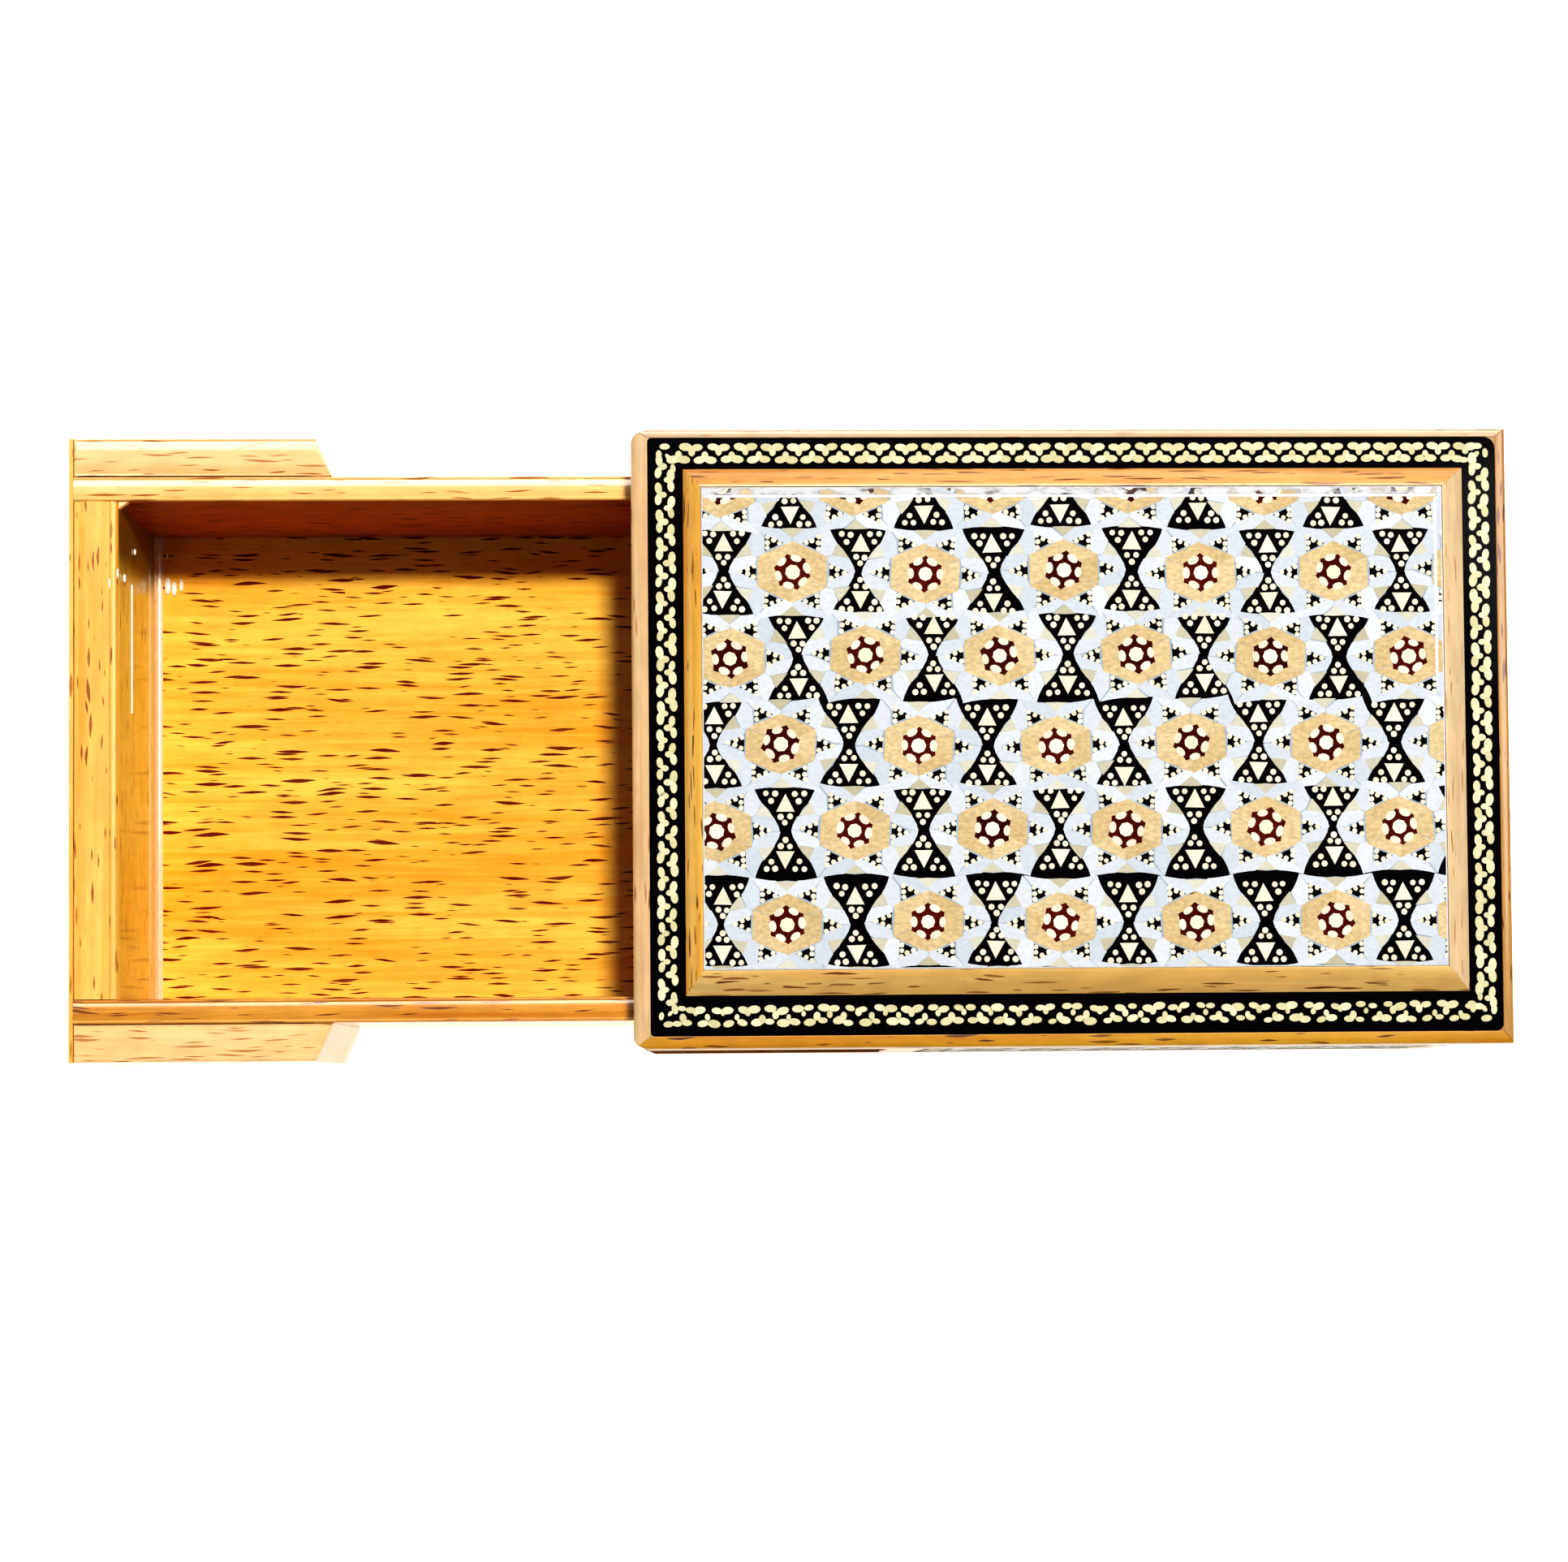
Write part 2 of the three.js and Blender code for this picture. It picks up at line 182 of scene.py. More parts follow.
# Camera: almost straight down, a little in front of the middle
cameraLook = {
    "place": (-45.6, -46.0, 361.5),
    "turn": (1.73, -1.33, -0.44),  # degrees
    "lens": 57.3,
    "sensor": 36,
    "shift": 0.15,  # the view runs more upwards than downwards from the lens axis
}


def addCamera(look):
    deselectAll()
    place = [value * mm for value in look["place"]]
    turn = [math.radians(angle) for angle in look["turn"]]
    bpy.ops.object.camera_add(location=place, rotation=turn)
    camera = bpy.context.object
    camera.name = "studio_camera"
    camera.data.lens = look["lens"]
    camera.data.sensor_width = look["sensor"]
    camera.data.shift_y = look["shift"]
    bpy.context.scene.camera = camera


addCamera(cameraLook)
print("camera ready")

# Studio: a white floor, a pale room and soft lamps
studioLook = {
    "floorSize": 30000,
    "floorColour": (0.93, 0.93, 0.93, 1),
    "floorRoughness": 0.9,
    "floorSheen": 0.1,
    "floorGlow": 0.68,
    "roomColour": (1, 0.99, 0.975, 1),
    "roomStrength": 0.1,
    "backdropStrength": 1.0,  # the same wall where the camera looks straight at it
}
lamps = [
    # name, place, size across and down, watts, colour, lights the wood, shows in gloss
    ("key_lamp", (130, 374, 1220), (130, 130), 13.2, (1, 0.985, 0.95), True, False),
    ("window_card", (310, 380, 900), (200, 200), 0.12, (1, 1, 1), True, True),
    ("long_window", (-30, 820, 1000), (1100, 800), 20, (1, 1, 1), False, True),
    ("side_window", (575, 222, 1000), (290, 420), 2.8, (1, 1, 1), False, True),
]


def addFloor(look):
    deselectAll()
    bpy.ops.mesh.primitive_plane_add(size=look["floorSize"] * mm, location=(0, 0, 0))
    floor = bpy.context.object
    floor.name = "studio_floor"
    material, tree, shader = newMaterial("floor_paper")
    feed(tree, shader, {
        "Base Color": look["floorColour"],
        "Roughness": look["floorRoughness"],
        "Specular IOR Level": look["floorSheen"],
        "Emission Color": white,
        "Emission Strength": look["floorGlow"],
    })
    floor.data.materials.append(material)


def addRoom(look):
    # dim light from all round, and a white backdrop behind the floor's edge
    room = bpy.data.worlds.new("studio_room")
    room.use_nodes = True
    tree = room.node_tree
    light = tree.nodes["Background"]
    feed(tree, light, {"Color": look["roomColour"], "Strength": look["roomStrength"]})
    backdrop = nodeIn(tree, "Background", {"Color": white, "Strength": look["backdropStrength"]})
    seen = nodeIn(tree, "LightPath", {}).outputs["Is Camera Ray"]
    either = nodeIn(tree, "MixShader", {0: seen, 1: light.outputs[0], 2: backdrop.outputs[0]})
    feed(tree, tree.nodes["World Output"], {"Surface": either.outputs[0]})
    bpy.context.scene.world = room


def addLamp(name, place, size, watts, colour, diffuse, glossy):
    deselectAll()
    at = Vector(place) * mm
    turn = (-at).to_track_quat("-Z", "Y").to_euler()
    bpy.ops.object.light_add(type="AREA", location=at, rotation=turn)
    lamp = bpy.context.object
    lamp.name = name
    lamp.data.shape = "RECTANGLE"
    lamp.data.size, lamp.data.size_y = size[0] * mm, size[1] * mm
    lamp.data.energy = watts
    lamp.data.color = colour
    lamp.visible_diffuse = diffuse
    lamp.visible_glossy = glossy


addFloor(studioLook)
addRoom(studioLook)
for lamp in lamps:
    addLamp(*lamp)
bpy.context.scene.view_settings.view_transform = "Standard"
bpy.context.scene.view_settings.look = "High Contrast"
print("studio ready:", len(lamps), "lamps")

# Figure of beech: streaks, fine pores and short dark ray flecks, with the grain along X
figureLook = {
    # noises: scale along and across the grain, detail, roughness and bend
    "broad": ((0.018, 0.11, 0.11), 2),
    "streak": ((0.03, 0.9, 0.9), 5, 0.62, 0.5),
    "pore": ((0.42, 6.5, 6.5), 1),
    "cloud": ((0.25, 0.5, 0.5), 3),
    "wander": ((0.1, 0.28, 0.28), 1),
    # ranges: from and to, and what these become if not 0 and 1
    "toneRange": (0.62, 1.3),
    "poreRange": (0.56, 0.7, 0, 0.3),
    "mottleRange": (0.3, 0.7, 0.93, 1.05),
    "fleckEdge": (0, 0.07),
    "fleckStrength": (0, 0.8, 0.62, 1),
    "broadShare": 0.9,
    "streakHeight": 0.25,
    "fleckDepth": 0.8,
    "fleckSway": 1.6,  # how far the rows of flecks wander
    "fleckPoint": 1.25,  # 1 makes a fleck a lozenge, 2 an oval
    "fleckSize": (0.225, 0.245),  # what chance adds, and the smallest, in shares of a cell
    "dullness": (0.2, 0.9),  # what the cloud adds, and the least
}


def makeBeechFigure(look):
    group, given, end = newGroup(
        "beechFigure",
        {
            "Vector": "Vector", "Pale": "Color", "Deep": "Color", "Fleck Colour": "Color",
            "Streaks": "Float", "Flecks": "Float", "Fleck Length": "Float", "Fleck Width": "Float",
        },
        {"Color": "Color", "Height": "Float", "Dullness": "Float"},
    )
    vector = inMillimetres(group, given["Vector"])
    names = ("broad", "streak", "pore", "cloud", "wander")
    broad, streak, pore, cloud, wander = [noiseIn(group, vector, *look[name]) for name in names]
    # flecks: long cells, a lens in some of them
    sway = nodeIn(group, "CombineXYZ", {"Y": mathIn(group, "MULTIPLY", wander, look["fleckSway"])})
    bent = mathIn(group, "ADD", vector, sway.outputs[0], kind="VectorMath")
    long, wide = given["Fleck Length"], given["Fleck Width"]
    cellSize = nodeIn(group, "CombineXYZ", {"X": long, "Y": wide, "Z": wide}).outputs[0]
    perCell = mathIn(group, "DIVIDE", bent, cellSize, kind="VectorMath")
    inputs = {"Vector": perCell, "Scale": 1, "Exponent": look["fleckPoint"]}
    cells = nodeIn(group, "TexVoronoi", inputs, distance="MINKOWSKI").outputs
    chance = nodeIn(group, "SeparateColor", {0: cells["Color"]}).outputs
    added, least = look["fleckSize"]
    reach = mathIn(group, "ADD", mathIn(group, "MULTIPLY", chance[0], added), least)
    lens = rangeIn(group, mathIn(group, "SUBTRACT", reach, cells["Distance"]), *look["fleckEdge"])
    threshold = mathIn(group, "SUBTRACT", 1.0, given["Flecks"])
    kept = mathIn(group, "GREATER_THAN", chance[1], threshold)
    strength = rangeIn(group, chance[2], *look["fleckStrength"])
    fleck = mathIn(group, "MULTIPLY", mathIn(group, "MULTIPLY", lens, kept), strength)
    # colour: pale to deep by broad tone and streaks, then pores, then flecks
    tone = mathIn(group, "ADD", mathIn(group, "MULTIPLY", broad, look["broadShare"]), streak)
    tone = rangeIn(group, tone, *look["toneRange"])
    tone = mathIn(group, "MULTIPLY", tone, given["Streaks"], use_clamp=True)
    wood = blendIn(group, tone, given["Pale"], given["Deep"])
    wood = blendIn(group, rangeIn(group, pore, *look["poreRange"]), wood, given["Deep"])
    wood = blendIn(group, 1.0, wood, rangeIn(group, cloud, *look["mottleRange"]), kind="MULTIPLY")
    raised = mathIn(group, "MULTIPLY", streak, look["streakHeight"])
    sunk = mathIn(group, "MULTIPLY", fleck, look["fleckDepth"])
    added, least = look["dullness"]
    feed(group, end, {
        "Color": blendIn(group, fleck, wood, given["Fleck Colour"]),
        "Height": mathIn(group, "SUBTRACT", raised, sunk),
        "Dullness": mathIn(group, "ADD", mathIn(group, "MULTIPLY", cloud, added), least),
    })
    return group


# Lacquer that has pooled and been rubbed: a faint swell, small dimples and a rubbed haze
skinLook = {
    # noises: scale, detail and roughness
    "swell": ((0.16, 0.16, 0.16), 1),
    "dimple": ((1.7, 1.7, 1.7), 2),
    "rub": ((0.07, 0.07, 0.07), 4, 0.7),
    "dimpleHeight": 0.05,
    "hazeRange": (0.35, 0.7),
}


def makeLacquerSkin(look):
    group, given, end = newGroup(
        "lacquerSkin", {"Vector": "Vector", "Swell": "Float"}, {"Height": "Float", "Haze": "Float"}
    )
    vector = inMillimetres(group, given["Vector"])
    swell, dimple, rub = [noiseIn(group, vector, *look[name]) for name in ("swell", "dimple", "rub")]
    swell = mathIn(group, "MULTIPLY", swell, given["Swell"])
    dimple = mathIn(group, "MULTIPLY", dimple, look["dimpleHeight"])
    height = mathIn(group, "ADD", swell, dimple)
    feed(group, end, {"Height": height, "Haze": rangeIn(group, rub, *look["hazeRange"])})
    return group


beechFigure = makeBeechFigure(figureLook)
lacquerSkin = makeLacquerSkin(skinLook)

insideLooks = ("floor_beech", "inner_beech", "inner_gold")
insideSheen, outsideSheen = 0.08, 0.5  # specular level of the wood under its coat
grainTurns = {"X": (0, 0, 0), "Y": (0, 0, 90), "Z": (0, 90, 0)}  # degrees that lay the grain along X
beechLooks = {
    # pale, deep and fleck colour, streaks, flecks, fleck length and width, roughness, coat weight
    "floor_beech": ((255, 210, 98), (242, 158, 18), (112, 24, 0), 0.85, 0.97, (6.2, 0.57), 0.42, 0.3),
    "front_beech": ((254, 212, 120), (244, 174, 60), (170, 88, 12), 0.8, 0.5, (4.4, 0.55), 0.4, 0.8),
    "side_beech": ((254, 218, 150), (248, 190, 98), (188, 110, 26), 0.75, 0.9, (7, 0.42), 0.4, 0.8),
    "side_warm": ((238, 180, 78), (206, 122, 22), (110, 40, 0), 0.95, 0.9, (7, 0.5), 0.4, 0.8),
    "cheek_beech": ((252, 214, 156), (244, 186, 110), (188, 114, 34), 0.8, 0.9, (7, 0.42), 0.42, 0.8),
    # inner_beech is the sides' wood painted darker and redder, painted shade on their inside faces;
    # inner_gold is the front's wood painted lighter and more golden, painted light on its inside face
    "inner_beech": ((206, 112, 50), (170, 66, 22), (80, 16, 2), 0.8, 0.6, (6, 0.6), 0.42, 0.6),
    "inner_gold": ((255, 236, 122), (250, 208, 64), (170, 92, 12), 0.8, 0.3, (4.4, 0.55), 0.42, 0.6),
    "mouth_beech": ((232, 206, 166), (206, 162, 108), (150, 96, 50), 0.95, 0.3, (5, 0.4), 0.42, 0.5),
    "cream_beech": ((208, 184, 150), (190, 156, 114), (170, 118, 60), 0.8, 0.3, (5, 0.4), 0.42, 0.5),
    "tan_beech": ((194, 150, 80), (162, 108, 44), (116, 62, 18), 0.85, 0.6, (4, 0.5), 0.42, 0.5),
    "orange_beech": ((216, 168, 54), (194, 124, 18), (84, 36, 2), 0.85, 0.7, (6, 0.65), 0.42, 0.5),
    # the four mouldings are one wood in four tones, partly real differences between the strips and partly
    # painted light: moulding_pale, on the back strip, is painted pale as a painted highlight where its
    # slope faces the light
    "moulding_orange": ((228, 180, 110), (212, 138, 58), (130, 56, 6), 0.9, 0.8, (8, 0.5), 0.4, 0.5),
    "moulding_mouth": ((250, 206, 106), (232, 152, 42), (124, 52, 4), 0.95, 0.8, (7, 0.5), 0.4, 0.5),
    "moulding_pale": ((230, 206, 168), (216, 178, 130), (186, 126, 70), 0.75, 0.35, (6, 0.4), 0.4, 0.5),
    "moulding_tan": ((244, 212, 146), (228, 180, 102), (130, 74, 20), 0.85, 0.7, (7, 0.5), 0.4, 0.5),
    "case_beech": ((246, 206, 140), (228, 168, 88), (150, 90, 30), 0.8, 0.4, (5, 0.5), 0.42, 0.5),
    "board_beech": ((240, 190, 110), (220, 150, 62), (130, 74, 20), 0.8, 0.45, (5, 0.6), 0.5, 0.2),
    "core_wood": ((214, 176, 124), (190, 140, 84), (150, 104, 56), 0.8, 0.2, (5, 0.5), 0.65, 0.0),
}
paintedCornerShades = {
    # look: painted shade where the side wall shades the front's inside face: where along Y it starts to
    # darken and is darkest, and the painted shade laid over the wood
    "inner_gold": (22.5, 27.5, (150, 128, 84)),
}
plankSize = 400  # how much plank the cuts are taken from
grainBump, skinBump = (0.35, 0.06), (0.5, 0.15)  # strength and depth
skinSwell = 0.5
beechCoatRoughness, chipCoatRoughness = 0.09, 0.06


def skinIn(tree, vector):
    return nodeIn(tree, "Group", {"Vector": vector, "Swell": skinSwell}, node_tree=lacquerSkin).outputs


def beech(lookName, along, seed=0):
    # one material for each figure, grain direction and cut from the plank
    name = f"{lookName}_{along}{seed}"
    if name in bpy.data.materials:
        return bpy.data.materials[name]
    pale, deep, fleckColour, streaks, flecks, fleckSize, roughness, coat = beechLooks[lookName]
    rnd = random.Random(name)
    offset = [rnd.uniform(0, plankSize) for axis in range(3)]
    material, tree, shader = newMaterial(name)
    vector = objectVector(tree, grainTurns[along], offset)
    colour, height, dull = nodeIn(tree, "Group", {
        "Vector": vector, "Pale": sRgb(*pale), "Deep": sRgb(*deep), "Fleck Colour": sRgb(*fleckColour),
        "Streaks": streaks, "Flecks": flecks, "Fleck Length": fleckSize[0], "Fleck Width": fleckSize[1],
    }, node_tree=beechFigure).outputs
    # painted shade: the front's inside face darkens towards the side wall, as if shaded by it
    if lookName in paintedCornerShades:
        start, end, shade = paintedCornerShades[lookName]
        place = nodeIn(tree, "SeparateXYZ", {0: objectVector(tree)}).outputs["Y"]
        corner = rangeIn(tree, place, start * mm, end * mm)
        colour = blendIn(tree, corner, colour, sRgb(*shade), kind="MULTIPLY")
    skinHeight = skinIn(tree, vector)["Height"]
    feed(tree, shader, {
        "Base Color": colour,
        "Roughness": mathIn(tree, "MULTIPLY", dull, roughness),
        "Normal": bumpIn(tree, skinBump, skinHeight, bumpIn(tree, grainBump, height)),
        "Specular IOR Level": insideSheen if lookName in insideLooks else outsideSheen,
        "Coat Weight": coat,
        "Coat Roughness": beechCoatRoughness,
    })
    return material


# Marquetry chips: white and yellowish bone, ebony, shell, orange wood and red core wood
chipLooks = {
    # two tones, roughness, coat weight, mottle
    "bone": ((246, 241, 224), (238, 230, 202), 0.4, 0.12, 0.04),
    "cream": ((236, 233, 220), (226, 219, 200), 0.4, 0.12, 0.05),
    "chain": ((234, 230, 198), (212, 206, 164), 0.4, 0.12, 0.06),
    "ebony": ((9, 5, 10), (4, 2, 6), 0.45, 0.06, 0.2),
    "shell": ((222, 226, 232), (202, 209, 219), 0.3, 0.15, 0.05),
    "seam": ((176, 188, 200), (164, 176, 190), 0.4, 0.1, 0.06),
    "ivory": ((219, 217, 204), (194, 188, 164), 0.4, 0.12, 0.05),
    "orange": ((222, 201, 160), (209, 185, 140), 0.42, 0.12, 0.14),
    "core": ((96, 24, 6), (62, 10, 3), 0.42, 0.12, 0.25),
}
chipFinish = {
    "cloud": ((1.3, 2.1, 1.7), 3, 0.6),  # noise: scale, detail and roughness
    "rubbed": (0.9, 1.15),  # shares of the roughness, whole and rubbed
    "sheen": 0.02,  # specular level under the coat, which keeps the ebony black
}
cloudRange = (0.3, 0.7)  # where the noise of a cloud begins and ends to show


def chipMaterial(name):
    first, second, roughness, coat, mottle = chipLooks[name]
    material, tree, shader = newMaterial("chip_" + name)
    vector = objectVector(tree)
    tone = nodeIn(tree, "Attribute", {}, attribute_name="tone").outputs["Fac"]
    colour = blendIn(tree, tone, sRgb(*first), sRgb(*second))
    cloud = noiseIn(tree, inMillimetres(tree, vector), *chipFinish["cloud"])
    light = rangeIn(tree, cloud, *cloudRange, 1 - mottle, 1 + mottle)
    skinHeight, haze = skinIn(tree, vector)
    whole, rubbed = chipFinish["rubbed"]
    rough = rangeIn(tree, haze, 0, 1, roughness * whole, roughness * rubbed)
    feed(tree, shader, {
        "Base Color": blendIn(tree, 1.0, colour, light, kind="MULTIPLY"),
        "Roughness": rough,
        "Normal": bumpIn(tree, skinBump, skinHeight),
        "Specular IOR Level": chipFinish["sheen"],
        "Coat Weight": coat,
        "Coat Roughness": chipCoatRoughness,
    })
    return material


# Poured lacquer and painted light, each film broken up by noise where its cover runs thin: a pale film of
# painted reflection and white lines of painted highlight on the panel, white drops and a white bead of
# painted highlight on the drawer front, a pale cove at its foot, and the dark glue beside the cheeks
filmLooks = {
    # colour, thinnest and thickest cover, roughness, coat weight
    # the first two films are painted light on the panel's edges: a pale painted reflection and white
    # painted highlight lines
    "film_painted_reflection": ((232, 232, 236), 0.05, 0.8, 0.3, 1.0),
    "film_painted_highlight": ((255, 255, 255), 0.75, 1.0, 0.2, 1.0),
    "film_cove": ((246, 206, 160), 1.0, 1.0, 0.25, 1.0),
    # near-white: painted highlight on the lacquer drops and on the bead
    "film_drop_painted_highlight": ((255, 250, 240), 1.0, 1.0, 0.15, 1.0),
    "glue_line": ((56, 10, 2), 1.0, 1.0, 0.8, 0.0),
}
filmFinish = {
    "cloud": ((0.3, 0.7, 0.7), 2),  # noise: scale and detail
    "tint": (0.94, 1.02),
    "rubbed": (0.8, 1.2),
    "coverRange": (0.38, 0.58),
}


def filmMaterial(name):
    colour, thin, thick, roughness, coat = filmLooks[name]
    material, tree, shader = newMaterial(name)
    cloud = noiseIn(tree, inMillimetres(tree, objectVector(tree)), *filmFinish["cloud"])
    tint = rangeIn(tree, cloud, *cloudRange, *filmFinish["tint"])
    smooth, rubbed = filmFinish["rubbed"]
    feed(tree, shader, {
        "Base Color": blendIn(tree, 1.0, sRgb(*colour), tint, kind="MULTIPLY"),
        "Roughness": rangeIn(tree, cloud, *cloudRange, roughness * smooth, roughness * rubbed),
        "Coat Weight": coat,
        "Coat Roughness": chipCoatRoughness,
    })
    if thin < 1:
        feed(tree, shader, {"Alpha": rangeIn(tree, cloud, *filmFinish["coverRange"], thin, thick)})
    return material


chipMaterials = {name: chipMaterial(name) for name in chipLooks}
chipOrder = list(chipMaterials)
filmMaterials = {name: filmMaterial(name) for name in filmLooks}
print("materials ready:", len(beechLooks), "beech looks,", len(chipOrder), "chip kinds")


# Wood pieces: a merged copy of the solid with its arrises softened, which stands for the solid
woodLook = {
    "merge": 0.002,
    "flat": 0.5,  # degrees under which two faces count as one
    "sharp": 25,  # degrees over which an edge is softened
    "segments": 3,
}


def copySolid(node, name):
    piece = bpy.data.objects.new(name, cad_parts[node].data.copy())
    bpy.context.scene.collection.objects.link(piece)
    piece.data.materials.clear()
    editAll(piece)
    bpy.ops.mesh.remove_doubles(threshold=woodLook["merge"] * mm)
    bpy.ops.mesh.dissolve_limited(angle_limit=math.radians(woodLook["flat"]))
    bpy.ops.mesh.normals_make_consistent(inside=False)
    leaveEdit()
    return piece


def soften(piece, ease):
    pick(piece)
    bevel = piece.modifiers.new("arris", "BEVEL")
    bevel.width = ease * mm
    bevel.segments = woodLook["segments"]
    bevel.limit_method = "ANGLE"
    bevel.angle_limit = math.radians(woodLook["sharp"])
    bpy.ops.object.modifier_apply(modifier=bevel.name)
    bpy.ops.object.shade_smooth()
    even = piece.modifiers.new("even", "WEIGHTED_NORMAL")
    even.keep_sharp = True
    bpy.ops.object.modifier_apply(modifier=even.name)
    return piece


woodPieces = {
    # solid: look, grain, softening, body, slot
    "case_bottom_board": ("board_beech", "X", 0.1, "case", "golden_beech"),
    "case_side_left": ("case_beech", "X", 0.18, "case", "beech"),
    "case_side_right": ("case_beech", "X", 0.18, "case", "beech"),
    "case_back_wall": ("case_beech", "Y", 0.12, "case", "beech"),
    "case_roof_board": ("core_wood", "X", 0.12, "case", "core_wood"),
    "panel_core": ("core_wood", "X", 0.05, "case", "core_wood"),
    "top_lipping_left": ("cream_beech", "X", 0.1, "case", "pale_beech"),
    "top_lipping_right": ("orange_beech", "X", 0.1, "case", "warm_beech"),
    "top_lipping_mouth": ("mouth_beech", "Y", 0.1, "case", "pale_beech"),
    "top_lipping_back": ("tan_beech", "Y", 0.1, "case", "beech"),
    **{
        "base_lipping_" + side: ("tan_beech", along, 0.12, "case", "beech")
        for side, along in (("left", "X"), ("right", "X"), ("mouth", "Y"), ("back", "Y"))
    },
    "panel_moulding_left": ("moulding_orange", "X", 0.06, "case", "warm_beech"),
    "panel_moulding_right": ("moulding_tan", "X", 0.06, "case", "warm_beech"),
    "panel_moulding_mouth": ("moulding_mouth", "Y", 0.06, "case", "warm_beech"),
    "panel_moulding_back": ("moulding_pale", "Y", 0.06, "case", "warm_beech"),
    "drawer_bottom": ("floor_beech", "X", 0.06, "drawer", "golden_beech"),
    "drawer_side_left": ("side_beech", "X", 0.12, "drawer", "pale_beech"),
    "drawer_side_right": ("side_warm", "X", 0.12, "drawer", "pale_beech"),
    "drawer_front": ("front_beech", "Y", 0.1, "drawer", "warm_beech"),
    "drawer_back": ("case_beech", "Y", 0.1, "drawer", "beech"),
    "cheek_left": ("cheek_beech", "X", 0.15, "drawer", "pale_beech"),
    "cheek_right": ("cheek_beech", "X", 0.15, "drawer", "pale_beech"),
    **{
        "front_frame_" + side: ("front_beech", along, 0.05, "drawer", "warm_beech")
        for side, along in (("top", "Y"), ("bottom", "Y"), ("left", "Z"), ("right", "Z"))
    },
}

crowns = {
    # solid: axis across the top face, fall at the edge, power of the fall, where the highest line lies
    "drawer_side_left": (1, 0.39, 2.4, 0.5),
    "drawer_side_right": (1, 0.39, 2.4, 0.5),
    "cheek_left": (1, 0.43, 4.2, 0.5),
    "cheek_right": (1, 0.24, 4.2, 0.3),
    "drawer_front": (0, 0.8, 2.6, 0.42),
}
crownStrips = 12

mouthRounds = {
    # lipping, of the top and of the base: side of the corner and its radius
    "mouth": [(1, 1.6), (-1, 1.0)],
    "left": [(1, 1.6)],
    "right": [(-1, 1.0)],
}
mouthCuts = (22.5, 45, 67.5)  # degrees round the corner

paintedInnerFaces = {
    # solid: direction of its inside face and that face's look, a copy of the wood with painted shade for
    # the sides and painted light for the front
    "drawer_side_left": ((0, -1, 0), "inner_beech"),
    "drawer_side_right": ((0, 1, 0), "inner_beech"),
    "drawer_front": ((1, 0, 0), "inner_gold"),
}
faceMatch = 0.9  # how well a face has to point along a direction


def crownTop(piece, axis, fall, power, middle):
    # the top face cut into strips whose edges sink towards both sides, rubbed round by hand
    corners = [vertex.co for vertex in piece.data.vertices]
    low = min(corner[axis] for corner in corners)
    width = max(corner[axis] for corner in corners) - low
    top = max(corner.z for corner in corners)
    across = Matrix.Identity(3)[axis].copy()
    for step in range(1, crownStrips):
        cutPlane(piece, across * (low + width * step / crownStrips), across)
    reach = max(middle, 1 - middle)
    for vertex in piece.data.vertices:
        if vertex.co.z > top - nearEnough:
            share = abs((vertex.co[axis] - low) / width - middle) / reach
            vertex.co.z -= fall * mm * share ** power


def roundMouthCorner(piece, side, radius):
    # upright cuts along the arc at one end of the mouth
    low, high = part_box("top_lipping_mouth")
    centreX = low.x + radius * mm
    centreY = (high.y if side > 0 else low.y) - side * radius * mm
    for angle in mouthCuts:
        outward = Vector((-math.cos(math.radians(angle)), side * math.sin(math.radians(angle)), 0))
        cutPlane(piece, Vector((centreX, centreY, 0)) + outward * radius * mm, outward, trim=True)


for seed, (node, (look, along, ease, body, slot)) in enumerate(woodPieces.items()):
    piece = copySolid(node, node + "_wood")
    if node in crowns:
        crownTop(piece, *crowns[node])
    if "_lipping_" in node:
        for side, radius in mouthRounds.get(node.split("_")[-1], []):
            roundMouthCorner(piece, side, radius)
    soften(piece, ease)
    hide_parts(node)
    dress(piece, body, slot, beech(look, along, seed))
    # the inside faces take their copy of the wood: painted shade on the sides, painted light on the front
    if node in paintedInnerFaces:
        inward, paintedInnerLook = paintedInnerFaces[node]
        piece.data.materials.append(beech(paintedInnerLook, along, seed))
        for face in piece.data.polygons:
            face.material_index = 1 if face.normal.dot(Vector(inward)) > faceMatch else 0
print("wood pieces ready:", len(woodPieces))


# Chips of the marquetry, each modelled once. Outlines are shares of the distance between stars,
# before the pattern is squeezed from front to back
def ringShares(count, radius, inner=None, turn=0.0):
    # points round a circle, or round a star when a second radius is given
    points = []
    steps = count if inner is None else 2 * count
    for step in range(steps):
        reach = radius if inner is None or step % 2 == 0 else inner
        angle = math.radians(turn) + 2 * math.pi * step / steps
        points.append((reach * math.cos(angle), reach * math.sin(angle)))
    return points


petalInside = [(0.292, 0.169), (0.255, 0.144), (0.268, 0.077), (0.402, 0.004)]
starShares = {
    "petal": [(0.463, 0), (0.451, 0.06), (0.417, 0.142)] + petalInside,
    "longPetal": [(0.545, 0), (0.492, 0.05), (0.44, 0.11), (0.417, 0.144)] + petalInside,
    "wedge": [(0.417, 0.144), (0.378, 0.219), (0.333, 0.289), (0.292, 0.169)],
    "rim": [(0.2525, -0.144), (0.2525, 0.144), (0.09, 0.052), (0.09, -0.052)],
    "thorn": [(0.268, -0.078), (0.404, 0), (0.268, 0.078)],
    "heart": ringShares(6, 0.143, 0.114, 30),
}
bedEdges = {  # the bed's corners from a notch to the tip of a petal, just inside the petal's own
    "petal": [(0.412, 0.141), (0.444, 0.056), (0.456, 0)],
    "longPetal": [(0.412, 0.142), (0.436, 0.106), (0.487, 0.046), (0.535, 0)],
}
bedNotch = 0.437
